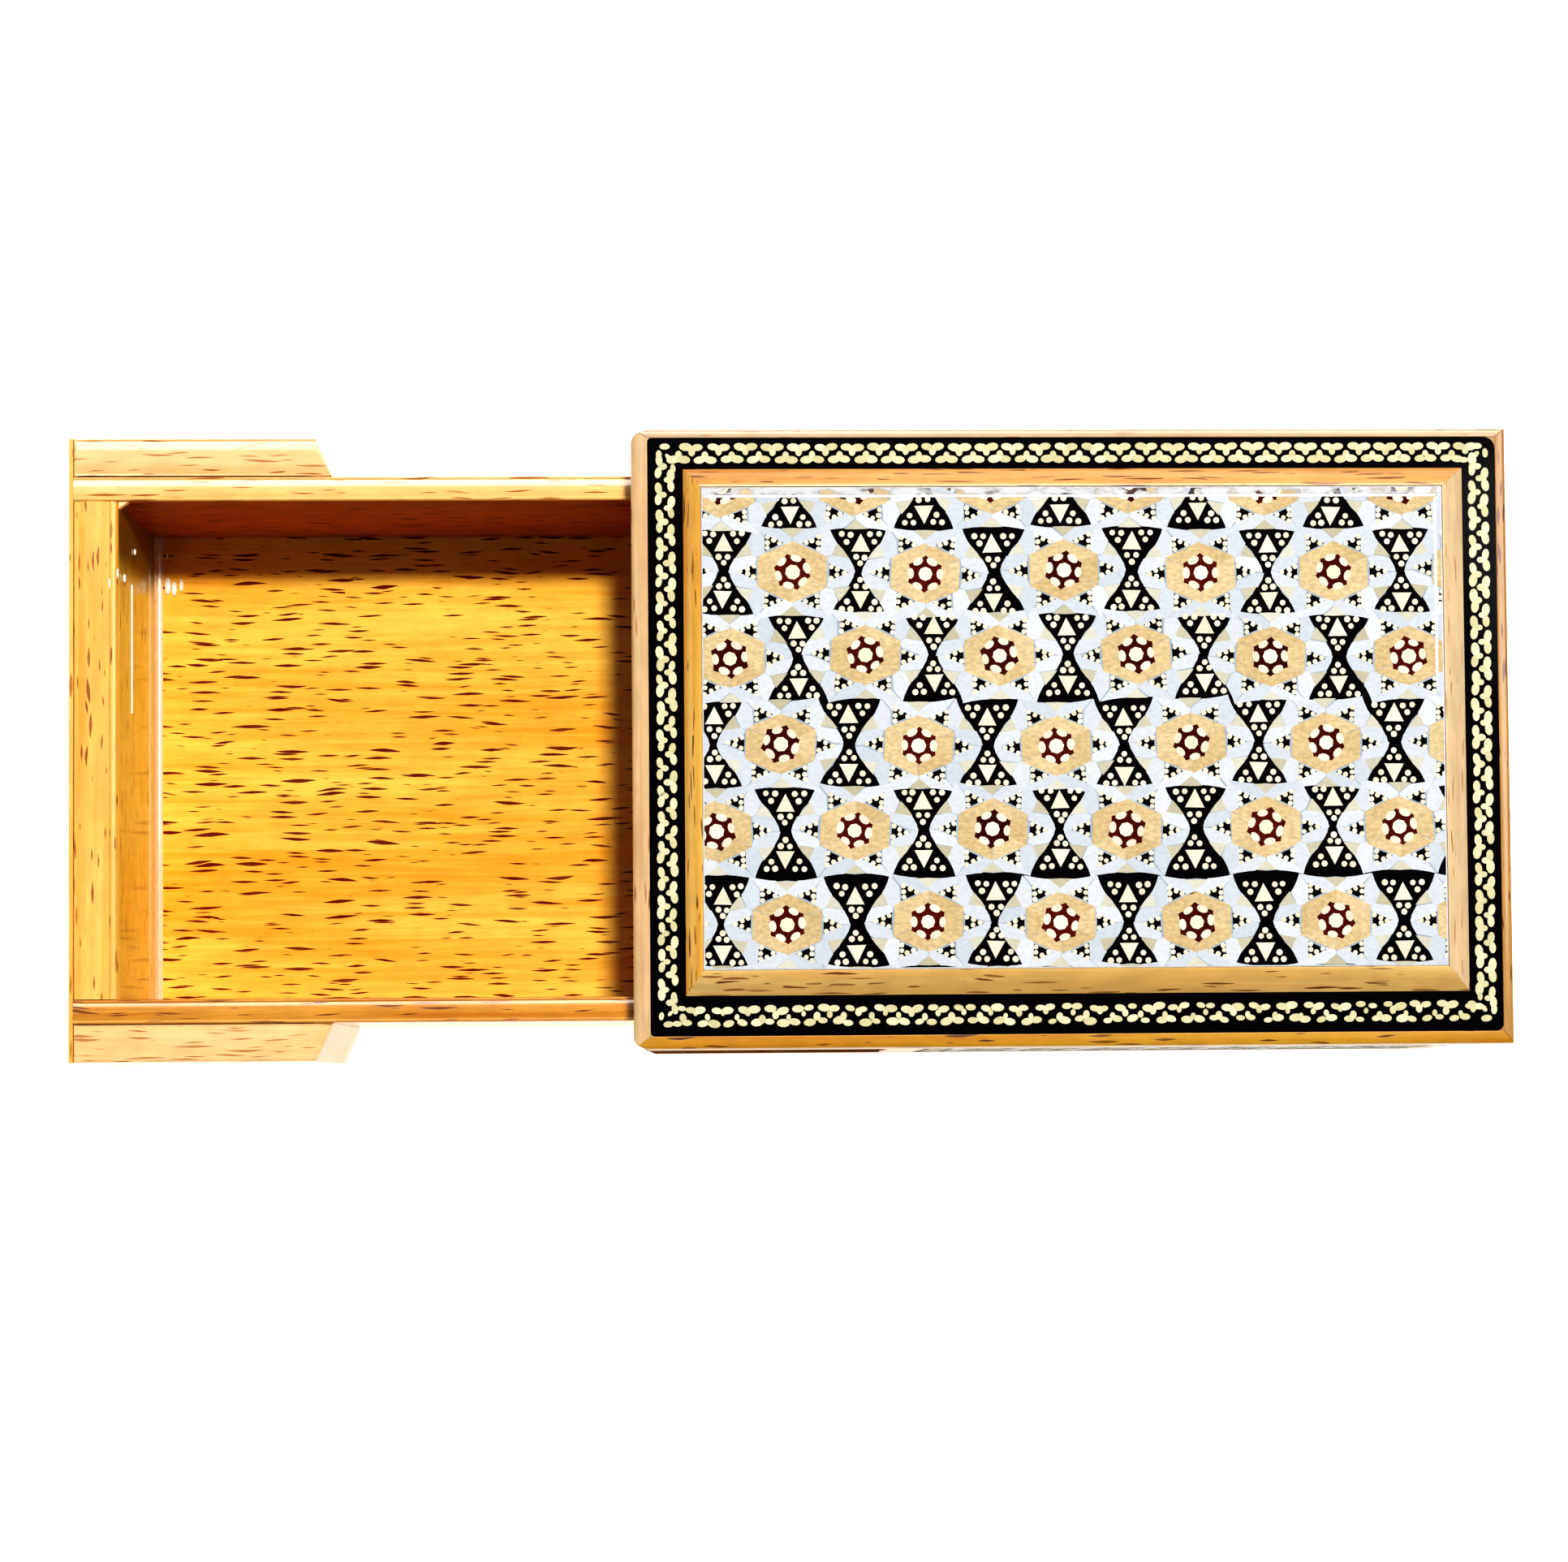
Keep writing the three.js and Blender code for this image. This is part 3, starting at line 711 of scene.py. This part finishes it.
starDots = [(0.283, 0.052), (0.283, -0.052), (0.33, 0.026), (0.33, -0.026), (0.38, 0)]
glassDots = [(0, 0.061), (0.032, 0.107), (0.137, 0.277), (0.073, 0.274), (0.101, 0.222)]
glassTriangle = [(0.07, 0.15), (0, 0.285), (-0.07, 0.15)]

sheetLook = {
    "starPitch": 17.7,  # between stars in a row
    "rowPitch": 11.35,
    "squeeze": 0.736,  # front to back, against an even six-sided pattern
    "ringSqueeze": 0.785,  # the orange ring and the thorns round it are squeezed less
    "starShift": (0.34, 0.24),  # how far a star may stand off its place, along and across its row
    "starTurn": 3.5,  # degrees that a ring may stand off its row
    "heartTurn": 20,  # degrees that a heart may be turned
    "dotFacets": 8,
    "ovalFacets": 10,
    "chipDepth": 0.05,
    "groundDrop": 0.07,  # ebony ground below the face
    "groundEase": 0.04,
    "dotRadius": 0.41,
    "smallDotRadius": 0.34,
    "centreRadius": 0.96,
    "ovalRadius": (0.75, 0.47),
    "ovalRing": 1.87,
    "chainPeriod": 3.52,
    "chainOval": (0.83, 0.51),
    "chainStem": (0.44, 0.56),
    "chainHalf": 0.81,  # from the chain's middle line to its rows of ovals
    "chainPhase": 0.25,  # the first trefoil and half the gap in a pair of ovals, in shares of the period
    "chainSpread": 0.205,
    "chainTilt": 6,  # degrees
    "stemOut": 0.3,  # share of chainHalf
}
handLook = {"turn": 2.5, "grow": 0.05, "shift": 0.045, "drop": 0.006}  # how far off a chip may be laid
looseness = {  # shares of handLook
    "bed": 0, "petal": 0.25, "longPetal": 0.25, "rim": 0.2, "wedge": 0.4, "thorn": 0.3, "thornDot": 1.6,
    "ringOval": 1.5, "glass": 0.8, "glassDot": 1.4,
}
drops = {  # how far a kind of chip lies below the face
    "bed": 0.05, "petal": 0.03, "longPetal": 0.03, "rim": 0.03, "wedge": 0.026, "thorn": 0.022,
    "heart": 0.02, "glass": 0.012, "dot": 0.008, "oval": 0.008,
}
chipBox = {}


def modelPrism(name, outline, depth):
    # a filled ring of corners pulled to the outline, then given its thickness downwards
    deselectAll()
    bpy.ops.mesh.primitive_circle_add(vertices=len(outline), radius=1, fill_type="NGON")
    prism = bpy.context.object
    prism.name = name
    for corner, (x, y) in zip(prism.data.vertices, outline):
        corner.co = (x, y, 0)
    editAll(prism)
    bpy.ops.mesh.extrude_region_move(TRANSFORM_OT_translate={"value": (0, 0, -depth)})
    bpy.ops.mesh.select_all(action="SELECT")
    bpy.ops.mesh.normals_make_consistent(inside=False)
    leaveEdit()
    return prism


def modelChip(name, outline, size=1):
    scaled = [(x * size, y * size) for x, y in outline]
    chip = modelPrism("chip_" + name, scaled, sheetLook["chipDepth"] * mm)
    corners = [vertex.co.copy() for vertex in chip.data.vertices]
    faces = [list(face.vertices) for face in chip.data.polygons]
    bpy.data.objects.remove(chip)
    chipBox[name] = (corners, faces)


def turned(point, angle):
    cosine, sine = math.cos(math.radians(angle)), math.sin(math.radians(angle))
    return (point[0] * cosine - point[1] * sine, point[0] * sine + point[1] * cosine)


def petalAt(angle):
    # the petals along a row stop short of each other and leave the hourglass its neck
    return "petal" if angle in (0, 180) else "longPetal"


def bedShares():
    points = []
    for angle in range(0, 360, 60):
        edge = bedEdges[petalAt(angle)]
        points += [turned((x, -y), angle) for x, y in edge]
        points += [turned(corner, angle) for corner in edge[-2::-1]]
        points.append(turned((bedNotch, 0), angle + 30))
    return points


pitch = sheetLook["starPitch"] * mm
modelChip("bed", bedShares(), pitch)
for name, outline in starShares.items():
    modelChip(name, outline, pitch)
modelChip("glass", glassTriangle, pitch)
modelChip("dot", ringShares(sheetLook["dotFacets"], mm))
modelChip("oval", ringShares(sheetLook["ovalFacets"], mm))


def newSheet(seed):
    return {"corners": [], "faces": [], "kinds": [], "tones": [], "rnd": random.Random(seed)}


def layChip(sheet, chip, kind, place, turn=0.0, size=(1, 1), squeeze=1.0, loose=1.0):
    # turn, stretch, squeeze and drop one chip into the sheet, each a little off, as laid by hand
    rnd = sheet["rnd"]
    angle = math.radians(turn + rnd.uniform(-1, 1) * handLook["turn"] * loose)
    grow = 1 + rnd.uniform(-1, 1) * handLook["grow"] * loose
    shiftX = rnd.uniform(-1, 1) * handLook["shift"] * mm * loose
    shiftY = rnd.uniform(-1, 1) * handLook["shift"] * mm * loose
    drop = (drops[chip] + rnd.uniform(0, handLook["drop"])) * mm
    cosine, sine = math.cos(angle), math.sin(angle)
    corners, faces = chipBox[chip]
    start = len(sheet["corners"])
    for corner in corners:
        x, y = corner.x * size[0] * grow, corner.y * size[1] * grow
        turnedX, turnedY = x * cosine - y * sine, (x * sine + y * cosine) * squeeze
        sheet["corners"].append((place[0] + turnedX + shiftX, place[1] + turnedY + shiftY, corner.z - drop))
    flip = size[0] * size[1] < 0
    tone = rnd.random()
    for face in faces:
        ring = [start + corner for corner in face]
        sheet["faces"].append(ring[::-1] if flip else ring)
        sheet["kinds"].append(chipOrder.index(kind))
        sheet["tones"].append(tone)


def layStar(sheet, place):
    look, loose = sheetLook, looseness
    squeeze, ringSqueeze = look["squeeze"], look["ringSqueeze"]
    starTurn = sheet["rnd"].uniform(-1, 1) * look["starTurn"]
    layChip(sheet, "bed", "seam", place, 0, (1, 1), squeeze, loose["bed"])
    for angle in range(0, 360, 60):
        ringTurn = angle + starTurn
        for chip, kind, side, turn, pressed in (
            (petalAt(angle), "shell", 1, angle, squeeze), (petalAt(angle), "shell", -1, angle, squeeze),
            ("rim", "orange", 1, ringTurn, ringSqueeze), ("wedge", "ivory", 1, angle, squeeze),
            ("thorn", "ebony", 1, ringTurn, ringSqueeze),
        ):
            layChip(sheet, chip, kind, place, turn, (1, side), pressed, loose[chip])
        for dot in starDots:
            x, y = turned(dot, ringTurn)
            spot = (place[0] + x * pitch, place[1] + y * pitch * ringSqueeze)
            layChip(sheet, "dot", "cream", spot, 0, (look["smallDotRadius"],) * 2, 1, loose["thornDot"])
    heartTurn = sheet["rnd"].uniform(-look["heartTurn"], look["heartTurn"])
    layChip(sheet, "heart", "core", place, heartTurn)
    layChip(sheet, "dot", "bone", place, heartTurn, (look["centreRadius"],) * 2)
    for angle in range(0, 360, 60):
        turn = angle + heartTurn
        x, y = turned((look["ovalRing"] * mm, 0), turn)
        spot = (place[0] + x, place[1] + y)
        layChip(sheet, "oval", "cream", spot, turn + 90, look["ovalRadius"], 1, loose["ringOval"])


def layHourglass(sheet, neck):
    # the yellow-white points on the two ebony triangles that meet between two stars
    radius = (sheetLook["dotRadius"],) * 2
    for side in (1, -1):
        layChip(sheet, "glass", "cream", neck, 0, (1, side), 1, looseness["glass"])
        for x, y in glassDots:
            for mirror in (1, -1) if x else (1,):
                spot = (neck[0] + mirror * x * pitch, neck[1] + side * y * pitch)
                layChip(sheet, "dot", "cream", spot, 0, radius, 1, looseness["glassDot"])


def layStarField(sheet, box, rows):
    # rows: y and first x of each row of stars, in millimetres; it ends beyond the box's high x
    for y, x in rows:
        while x * mm < box[1] + pitch:
            shifts = [sheet["rnd"].uniform(-1, 1) * share * mm for share in sheetLook["starShift"]]
            spot = (x * mm + shifts[0], y * mm + shifts[1])
            layStar(sheet, spot)
            layHourglass(sheet, (spot[0] + pitch / 2, spot[1]))
            x += sheetLook["starPitch"]


def layChain(sheet, start, end, outward, size=1.0, loose=2.0):
    # trefoils by turns from the outer and the inner row along a line, their stems between
    look = sheetLook
    oval, stem = [[reach * size for reach in look[name]] for name in ("chainOval", "chainStem")]
    along = end - start
    length = along.length
    along.normalize()
    out = Vector(outward)
    turn = math.degrees(math.atan2(along.y, along.x))
    count = max(1, round(length / (look["chainPeriod"] * mm)))
    period = length / count
    half = look["chainHalf"] * mm
    for step in range(2 * count):
        side = 1 if step % 2 == 0 else -1
        middle = start + along * period * (step / 2 + look["chainPhase"])
        for pair in (1, -1):
            spot = middle + along * pair * period * look["chainSpread"] + out * side * half
            tilted = turn - side * pair * look["chainTilt"]
            layChip(sheet, "oval", "chain", spot, tilted, oval, 1, loose)
        spot = middle + out * side * half * look["stemOut"]
        layChip(sheet, "oval", "chain", spot, turn, stem, 1, loose)


def layChainSide(sheet, corners, corner, outward, *fit):
    # a chain from one corner to the next, with room for the corners' own ovals
    start, end = Vector(corners[corner]), Vector(corners[(corner + 1) % 4])
    along = (end - start).normalized()
    room = borderLook["cornerRoom"] * mm
    layChain(sheet, start + along * room, end - along * room, outward, *fit)


def boxOutline(lowX, highX, lowY, highY):
    return [(lowX, lowY), (highX, lowY), (highX, highY), (lowX, highY)]


def boxCuts(box):
    # a point and an outward direction for each side of a box
    lowX, highX, lowY, highY = box
    return [
        ((lowX, 0, 0), (-1, 0, 0)), ((highX, 0, 0), (1, 0, 0)),
        ((0, lowY, 0), (0, -1, 0)), ((0, highY, 0), (0, 1, 0)),
    ]


def sheetPiece(sheet, name, box, toWall):
    # one mesh from the laid chips, trimmed to the box and stood on its wall
    mesh = bpy.data.meshes.new(name)
    mesh.from_pydata(sheet["corners"], [], sheet["faces"])
    for kind in chipOrder:
        mesh.materials.append(chipMaterials[kind])
    mesh.polygons.foreach_set("material_index", sheet["kinds"])
    tones = mesh.attributes.new("tone", "FLOAT", "FACE")
    tones.data.foreach_set("value", sheet["tones"])
    mesh.update()
    piece = bpy.data.objects.new(name, mesh)
    bpy.context.scene.collection.objects.link(piece)
    for point, normal in boxCuts(box):
        cutPlane(piece, point, normal, trim=True)
    mesh.transform(toWall)
    return piece


def wallMatrix(origin, across, up):
    # the sheet's X, Y and face directions in the box's frame
    x, y = Vector(across), Vector(up)
    z = x.cross(y)
    matrix = Matrix((x, y, z)).transposed().to_4x4()
    matrix.translation = Vector(origin)
    return matrix


def sinkFace(node, name, outward):
    # the ebony ground of a sheet: the solid with its face set back below the chips
    piece = copySolid(node, name)
    normal = Vector(outward)
    low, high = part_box(node)
    face = max(low.dot(normal), high.dot(normal))
    for vertex in piece.data.vertices:
        if abs(vertex.co.dot(normal) - face) < nearEnough:
            vertex.co -= normal * sheetLook["groundDrop"] * mm
    return piece


def faceOf(node, outward, across):
    # middle of the solid's outer face, its up direction, and half its width and height
    low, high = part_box(node)
    normal, side = Vector(outward), Vector(across)
    up = normal.cross(side)
    middle = (low + high) / 2
    reach = max(low.dot(normal), high.dot(normal)) - middle.dot(normal)
    half = (abs((high - low).dot(side)) / 2, abs((high - low).dot(up)) / 2)
    return middle + normal * reach, up, half


def boxAround(half, margin):
    return (margin - half[0], half[0] - margin, margin - half[1], half[1] - margin)


def addGround(node, outward, body, slot):
    ground = soften(sinkFace(node, node + "_ground", outward), sheetLook["groundEase"])
    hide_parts(node)
    return dress(ground, body, slot, chipMaterials["ebony"])


# The star panel on the roof
panelLook = {
    "margin": 0.25,  # pale rim left round the stars
    "seed": 7,
    "rows": [  # y and first x of each row of stars, from the back of the panel to its front
        (32.6, -63.4), (21.2, -54.5), (10.2, -62.6), (-1.3, -55.6), (-12.4, -64.1), (-24.3, -55.0),
        (-35.6, -63.6),
    ],
}


def buildStarPanel(look):
    node = "panel_inlay"
    origin, up, half = faceOf(node, (0, 0, 1), (1, 0, 0))
    ground = addGround(node, (0, 0, 1), "case", "khatam_stars")
    ground.data.materials.append(chipMaterials["shell"])
    inner = boxAround(half, look["margin"] * mm)
    for point, normal in boxCuts(inner):
        cutPlane(ground, Vector(point) + origin, normal)
    for face in ground.data.polygons:
        x, y = face.center.x - origin.x, face.center.y - origin.y
        inside = inner[0] < x < inner[1] and inner[2] < y < inner[3]
        face.material_index = 0 if inside else 1
    sheet = newSheet(look["seed"])
    layStarField(sheet, inner, [(y - origin.y / mm, x - origin.x / mm) for y, x in look["rows"]])
    stars = sheetPiece(sheet, "panel_stars", inner, wallMatrix(origin, (1, 0, 0), up))
    dress(stars, "case", "khatam_stars")
    return stars


starPanel = buildStarPanel(panelLook)
print("star panel ready:", len(starPanel.data.polygons), "faces")

# The border round the panel: an ebony ring with a chain of trefoils
wholeSheet = (-1, 1, -1, 1)  # a box in metres that trims nothing
flat = ((1, 0, 0), (0, 1, 0))  # the directions across and up of what lies, and of what stands
upright = ((1, 0, 0), (0, 0, 1))
borderLook = {
    "cornerRoom": 0.85,  # from the crossing of two chains to the first trefoil
    "cornerOvals": [  # place out from the crossing along each axis, turn and size
        (-0.08, 0.9, 0, 0.8), (0.9, -0.08, 90, 0.8), (-0.35, -0.35, 45, 0.62), (-1.9, -0.95, 0, 0.75),
        (-0.95, -1.9, 90, 0.75),
    ],
    "sides": {  # outward, corner it starts from, size of its ovals, how loosely they are laid
        "right": ((0, -1), 0, 0.88, 4.5), "back": ((1, 0), 1, 1.01, 2.5),
        "left": ((0, 1), 2, 1.0, 1.5), "mouth": ((-1, 0), 3, 0.95, 2.5),
    },
}


def buildBorder(look):
    middles = {}
    for name in look["sides"]:
        node = "border_inlay_" + name
        addGround(node, (0, 0, 1), "case", "khatam_border")
        low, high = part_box(node)
        middles[name] = (low + high) / 2
    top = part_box("border_inlay_left")[1].z
    ends = (("mouth", "right"), ("back", "right"), ("back", "left"), ("mouth", "left"))
    crossings = [(middles[first].x, middles[second].y) for first, second in ends]
    for name, (outward, corner, size, loose) in look["sides"].items():
        sheet = newSheet("chain " + name)
        layChainSide(sheet, crossings, corner, outward, size, loose)
        start = Vector(crossings[corner])
        outX, outY = (math.copysign(1, value) for value in start)
        for x, y, turn, share in look["cornerOvals"]:
            spot = (start.x + outX * x * mm, start.y + outY * y * mm)
            oval = [reach * size * share for reach in sheetLook["chainOval"]]
            layChip(sheet, "oval", "chain", spot, turn * outX * outY, oval, 1, loose)
        toTop = wallMatrix((0, 0, top), *flat)
        chain = sheetPiece(sheet, "border_chain_" + name, wholeSheet, toTop)
        dress(chain, "case", "khatam_border")


buildBorder(borderLook)
print("border ready")

# Framed sheets: stars between chain bands on the walls of the case and on the drawer front
framedSheets = {
    # solid: outward, across, body, slot, band width, seed
    "side_inlay_left": ((0, 1, 0), (-1, 0, 0), "case", "khatam_stars", 3.9, 21),
    "side_inlay_right": ((0, -1, 0), (1, 0, 0), "case", "khatam_stars", 3.9, 22),
    "back_inlay": ((1, 0, 0), (0, 1, 0), "case", "khatam_stars", 3.9, 23),
    "front_inlay": ((-1, 0, 0), (0, -1, 0), "drawer", "khatam_border", 3.4, 24),
}
chainSeeds = 100  # what a sheet's chain adds to its seed


def buildFramedSheet(node, outward, across, body, slot, band, seed):
    origin, up, half = faceOf(node, outward, across)
    addGround(node, outward, body, slot)
    toWall = wallMatrix(origin, across, up)
    field = boxAround(half, band * mm)
    stars = newSheet(seed)
    step = sheetLook["rowPitch"]
    first = -sheetLook["starPitch"] * math.ceil(half[0] / pitch)
    rows = [(row * step, first - (row % 2) * sheetLook["starPitch"] / 2) for row in (-1, 0, 1)]
    layStarField(stars, field, rows)
    dress(sheetPiece(stars, node + "_stars", field, toWall), body, slot)
    chain = newSheet(seed + chainSeeds)
    corners = boxOutline(*boxAround(half, band * mm / 2))
    for corner, outwardLine in enumerate([(0, -1), (1, 0), (0, 1), (-1, 0)]):
        layChainSide(chain, corners, corner, outwardLine)
    dress(sheetPiece(chain, node + "_chain", boxAround(half, 0), toWall), body, slot)


for node, values in framedSheets.items():
    buildFramedSheet(node, *values)
print("framed sheets ready:", len(framedSheets))

# Lacquer with painted reflection and painted highlights, glue lines and small fillets on the panel, the
# band, the cheeks and the drawer front
lacquerLook = {
    "filmRise": 0.005,
    "filmGap": 0.001,  # under the top of the panel
    "panelFilms": [  # name, material, distances in from the panel's low x, high x, low y and high y
        # a pale film of painted reflection by the back edge, and white films of painted highlight along the
        # back and right edges
        ("panel_painted_reflection_back", "film_painted_reflection", 0.1, 0.1, 61.75, 0.1),
        ("panel_painted_highlight_back", "film_painted_highlight", 0.4, 0.9, 61.35, 1.1),
        ("panel_painted_highlight_right", "film_painted_highlight", 95.6, 0.85, 38, 1.6),
    ],
    "coveReach": 1.0,
    # the bead is a thin white line of painted highlight up the front's inside face
    "beadRadius": 0.16,
    "beadFacets": 8,
    "beadDrop": 7.8,  # below the top of the drawer front
    "beadFrom": 6,
    "beadTo": 23.5,
    "cornerReach": (1.3, 0.9),
    "cornerDepth": 0.9,
    "cornerDrop": 0.45,  # below the top of the drawer front
    "cornerSeed": 99,
    "glueWidth": 0.28,
    "glueDrop": 0.3,  # below the top of the cheek, in the groove between the two crowned tops
    "glueDepth": 0.25,
    "glueEnds": (0.5, 2.6),  # short of the cheek's two ends
    "bandDepth": 0.3,
    "bandSeed": 1,
    "bandCorners": {  # radius of the outer corners of the ebony band
        (1, 1): 1.5, (1, -1): 0.9, (-1, 1): 0.5, (-1, -1): 0.5,
    },
    "dropFacets": {"segments": 12, "ring_count": 6},
    "dropShape": (0.6, 1.7, 0.5),
    "drops": [  # place in from the front's inner face, from the middle line and above the floor, and size
        (-1.0, 22.2, 21.8, 0.68), (-0.3, 23.6, 21.55, 0.54), (0.25, 23.4, 19.5, 0.36),
        (0.15, 28.3, 13.2, 0.28), (0.45, 30.4, 0.5, 0.28), (1.6, 30.6, 0.0, 0.3), (1.7, 26.3, 0.0, 0.8),
        (2.6, 25.9, 0.0, 0.66), (3.6, 26.4, 0.0, 0.55),
    ],
}


def placePrism(name, outline, depth, origin, plane, finish):
    # finish: body, slot and material
    bar = modelPrism(name, outline, depth)
    bar.data.transform(wallMatrix(origin, *plane))
    bar.data.update()
    return dress(bar, *finish)


def coveOutline(reach, steps=5):
    # a hollow quarter: two straight legs from the corner and an arc between their ends
    arc = []
    for step in range(steps + 1):
        angle = math.pi / 2 * step / steps
        arc.append((reach * (1 - math.sin(angle)), reach * (1 - math.cos(angle))))
    return [(0, 0)] + arc


def addPanelFilms(look):
    # films of painted reflection and painted highlight laid over the stars
    low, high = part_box("panel_inlay")
    origin = (0, 0, high.z - look["filmGap"] * mm)
    for name, film, fromX, toX, fromY, toY in look["panelFilms"]:
        spanX = (low.x + fromX * mm, high.x - toX * mm)
        spanY = (low.y + fromY * mm, high.y - toY * mm)
        finish = ("case", "khatam_stars", filmMaterials[film])
        placePrism(name, boxOutline(*spanX, *spanY), look["filmRise"] * mm, origin, flat, finish)


def addBandCorners(look):
    low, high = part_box("border_inlay_mouth")[0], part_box("border_inlay_back")[1]
    for (signX, signY), radius in look["bandCorners"].items():
        name = f"band_corner_{signX}_{signY}"
        corner = (high.x if signX > 0 else low.x, high.y if signY > 0 else low.y, high.z)
        outline = [(-signX * x, -signY * y) for x, y in coveOutline(radius * mm)]
        wood = beech("tan_beech" if signX > 0 else "cream_beech", "X", look["bandSeed"])
        finish = ("case", "pale_beech", wood)
        placePrism(name, outline, look["bandDepth"] * mm, corner, flat, finish)


def addGlueLines(look):
    toMouth, toTail = (short * mm for short in look["glueEnds"])
    half = look["glueWidth"] * mm / 2
    finish = ("drawer", "pale_beech", filmMaterials["glue_line"])
    for cheek in ("cheek_left", "cheek_right"):
        near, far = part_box(cheek)
        joint = near.y if cheek == "cheek_left" else far.y
        outline = boxOutline(near.x + toMouth, far.x - toTail, joint - half, joint + half)
        origin = (0, 0, far.z - look["glueDrop"] * mm)
        placePrism(cheek + "_glue", outline, look["glueDepth"] * mm, origin, flat, finish)


def addDrawerLacquer(look):
    low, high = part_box("drawer_front")
    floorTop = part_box("drawer_bottom")[1].z
    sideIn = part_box("drawer_side_left")[0].y
    golden = ("drawer", "golden_beech")
    cove = coveOutline(look["coveReach"] * mm)
    place = (high.x, -sideIn, floorTop)
    placePrism("front_cove", cove, 2 * sideIn, place, upright, (*golden, filmMaterials["film_cove"]))
    # a thin white bead up the front's inside face: a painted highlight line
    bead = ringShares(look["beadFacets"], look["beadRadius"] * mm)
    place = (high.x, look["beadFrom"] * mm, high.z - look["beadDrop"] * mm)
    finish = (*golden, filmMaterials["film_drop_painted_highlight"])
    placePrism("front_painted_highlight_bead", bead, (look["beadTo"] - look["beadFrom"]) * mm, place, upright, finish)
    addGlueLines(look)
    legs = [share * mm for share in look["cornerReach"]]
    wedge = [(0, 0), (0, -legs[1]), (legs[0], 0)]
    place = (high.x, sideIn, high.z - look["cornerDrop"] * mm)
    finish = ("drawer", "pale_beech", beech("cheek_beech", "X", look["cornerSeed"]))
    placePrism("front_corner", wedge, look["cornerDepth"] * mm, place, flat, finish)
    # the lacquer drops are real, painted near-white as painted highlights
    for number, (x, y, z, size) in enumerate(look["drops"]):
        deselectAll()
        place = (high.x + x * mm, y * mm, floorTop + z * mm)
        bpy.ops.mesh.primitive_uv_sphere_add(radius=size * mm, location=place, **look["dropFacets"])
        bpy.ops.transform.resize(value=look["dropShape"])
        bpy.ops.object.transform_apply(location=True, rotation=True, scale=True)
        bpy.ops.object.shade_smooth()
        drop = bpy.context.object
        drop.name = f"lacquer_drop_{number}"
        dress(drop, *golden, filmMaterials["film_drop_painted_highlight"])


addPanelFilms(lacquerLook)
addBandCorners(lacquerLook)
addDrawerLacquer(lacquerLook)
print("lacquer ready:", len(lacquerLook["drops"]), "drops")

bpy.context.view_layer.update()
print("all pieces ready")
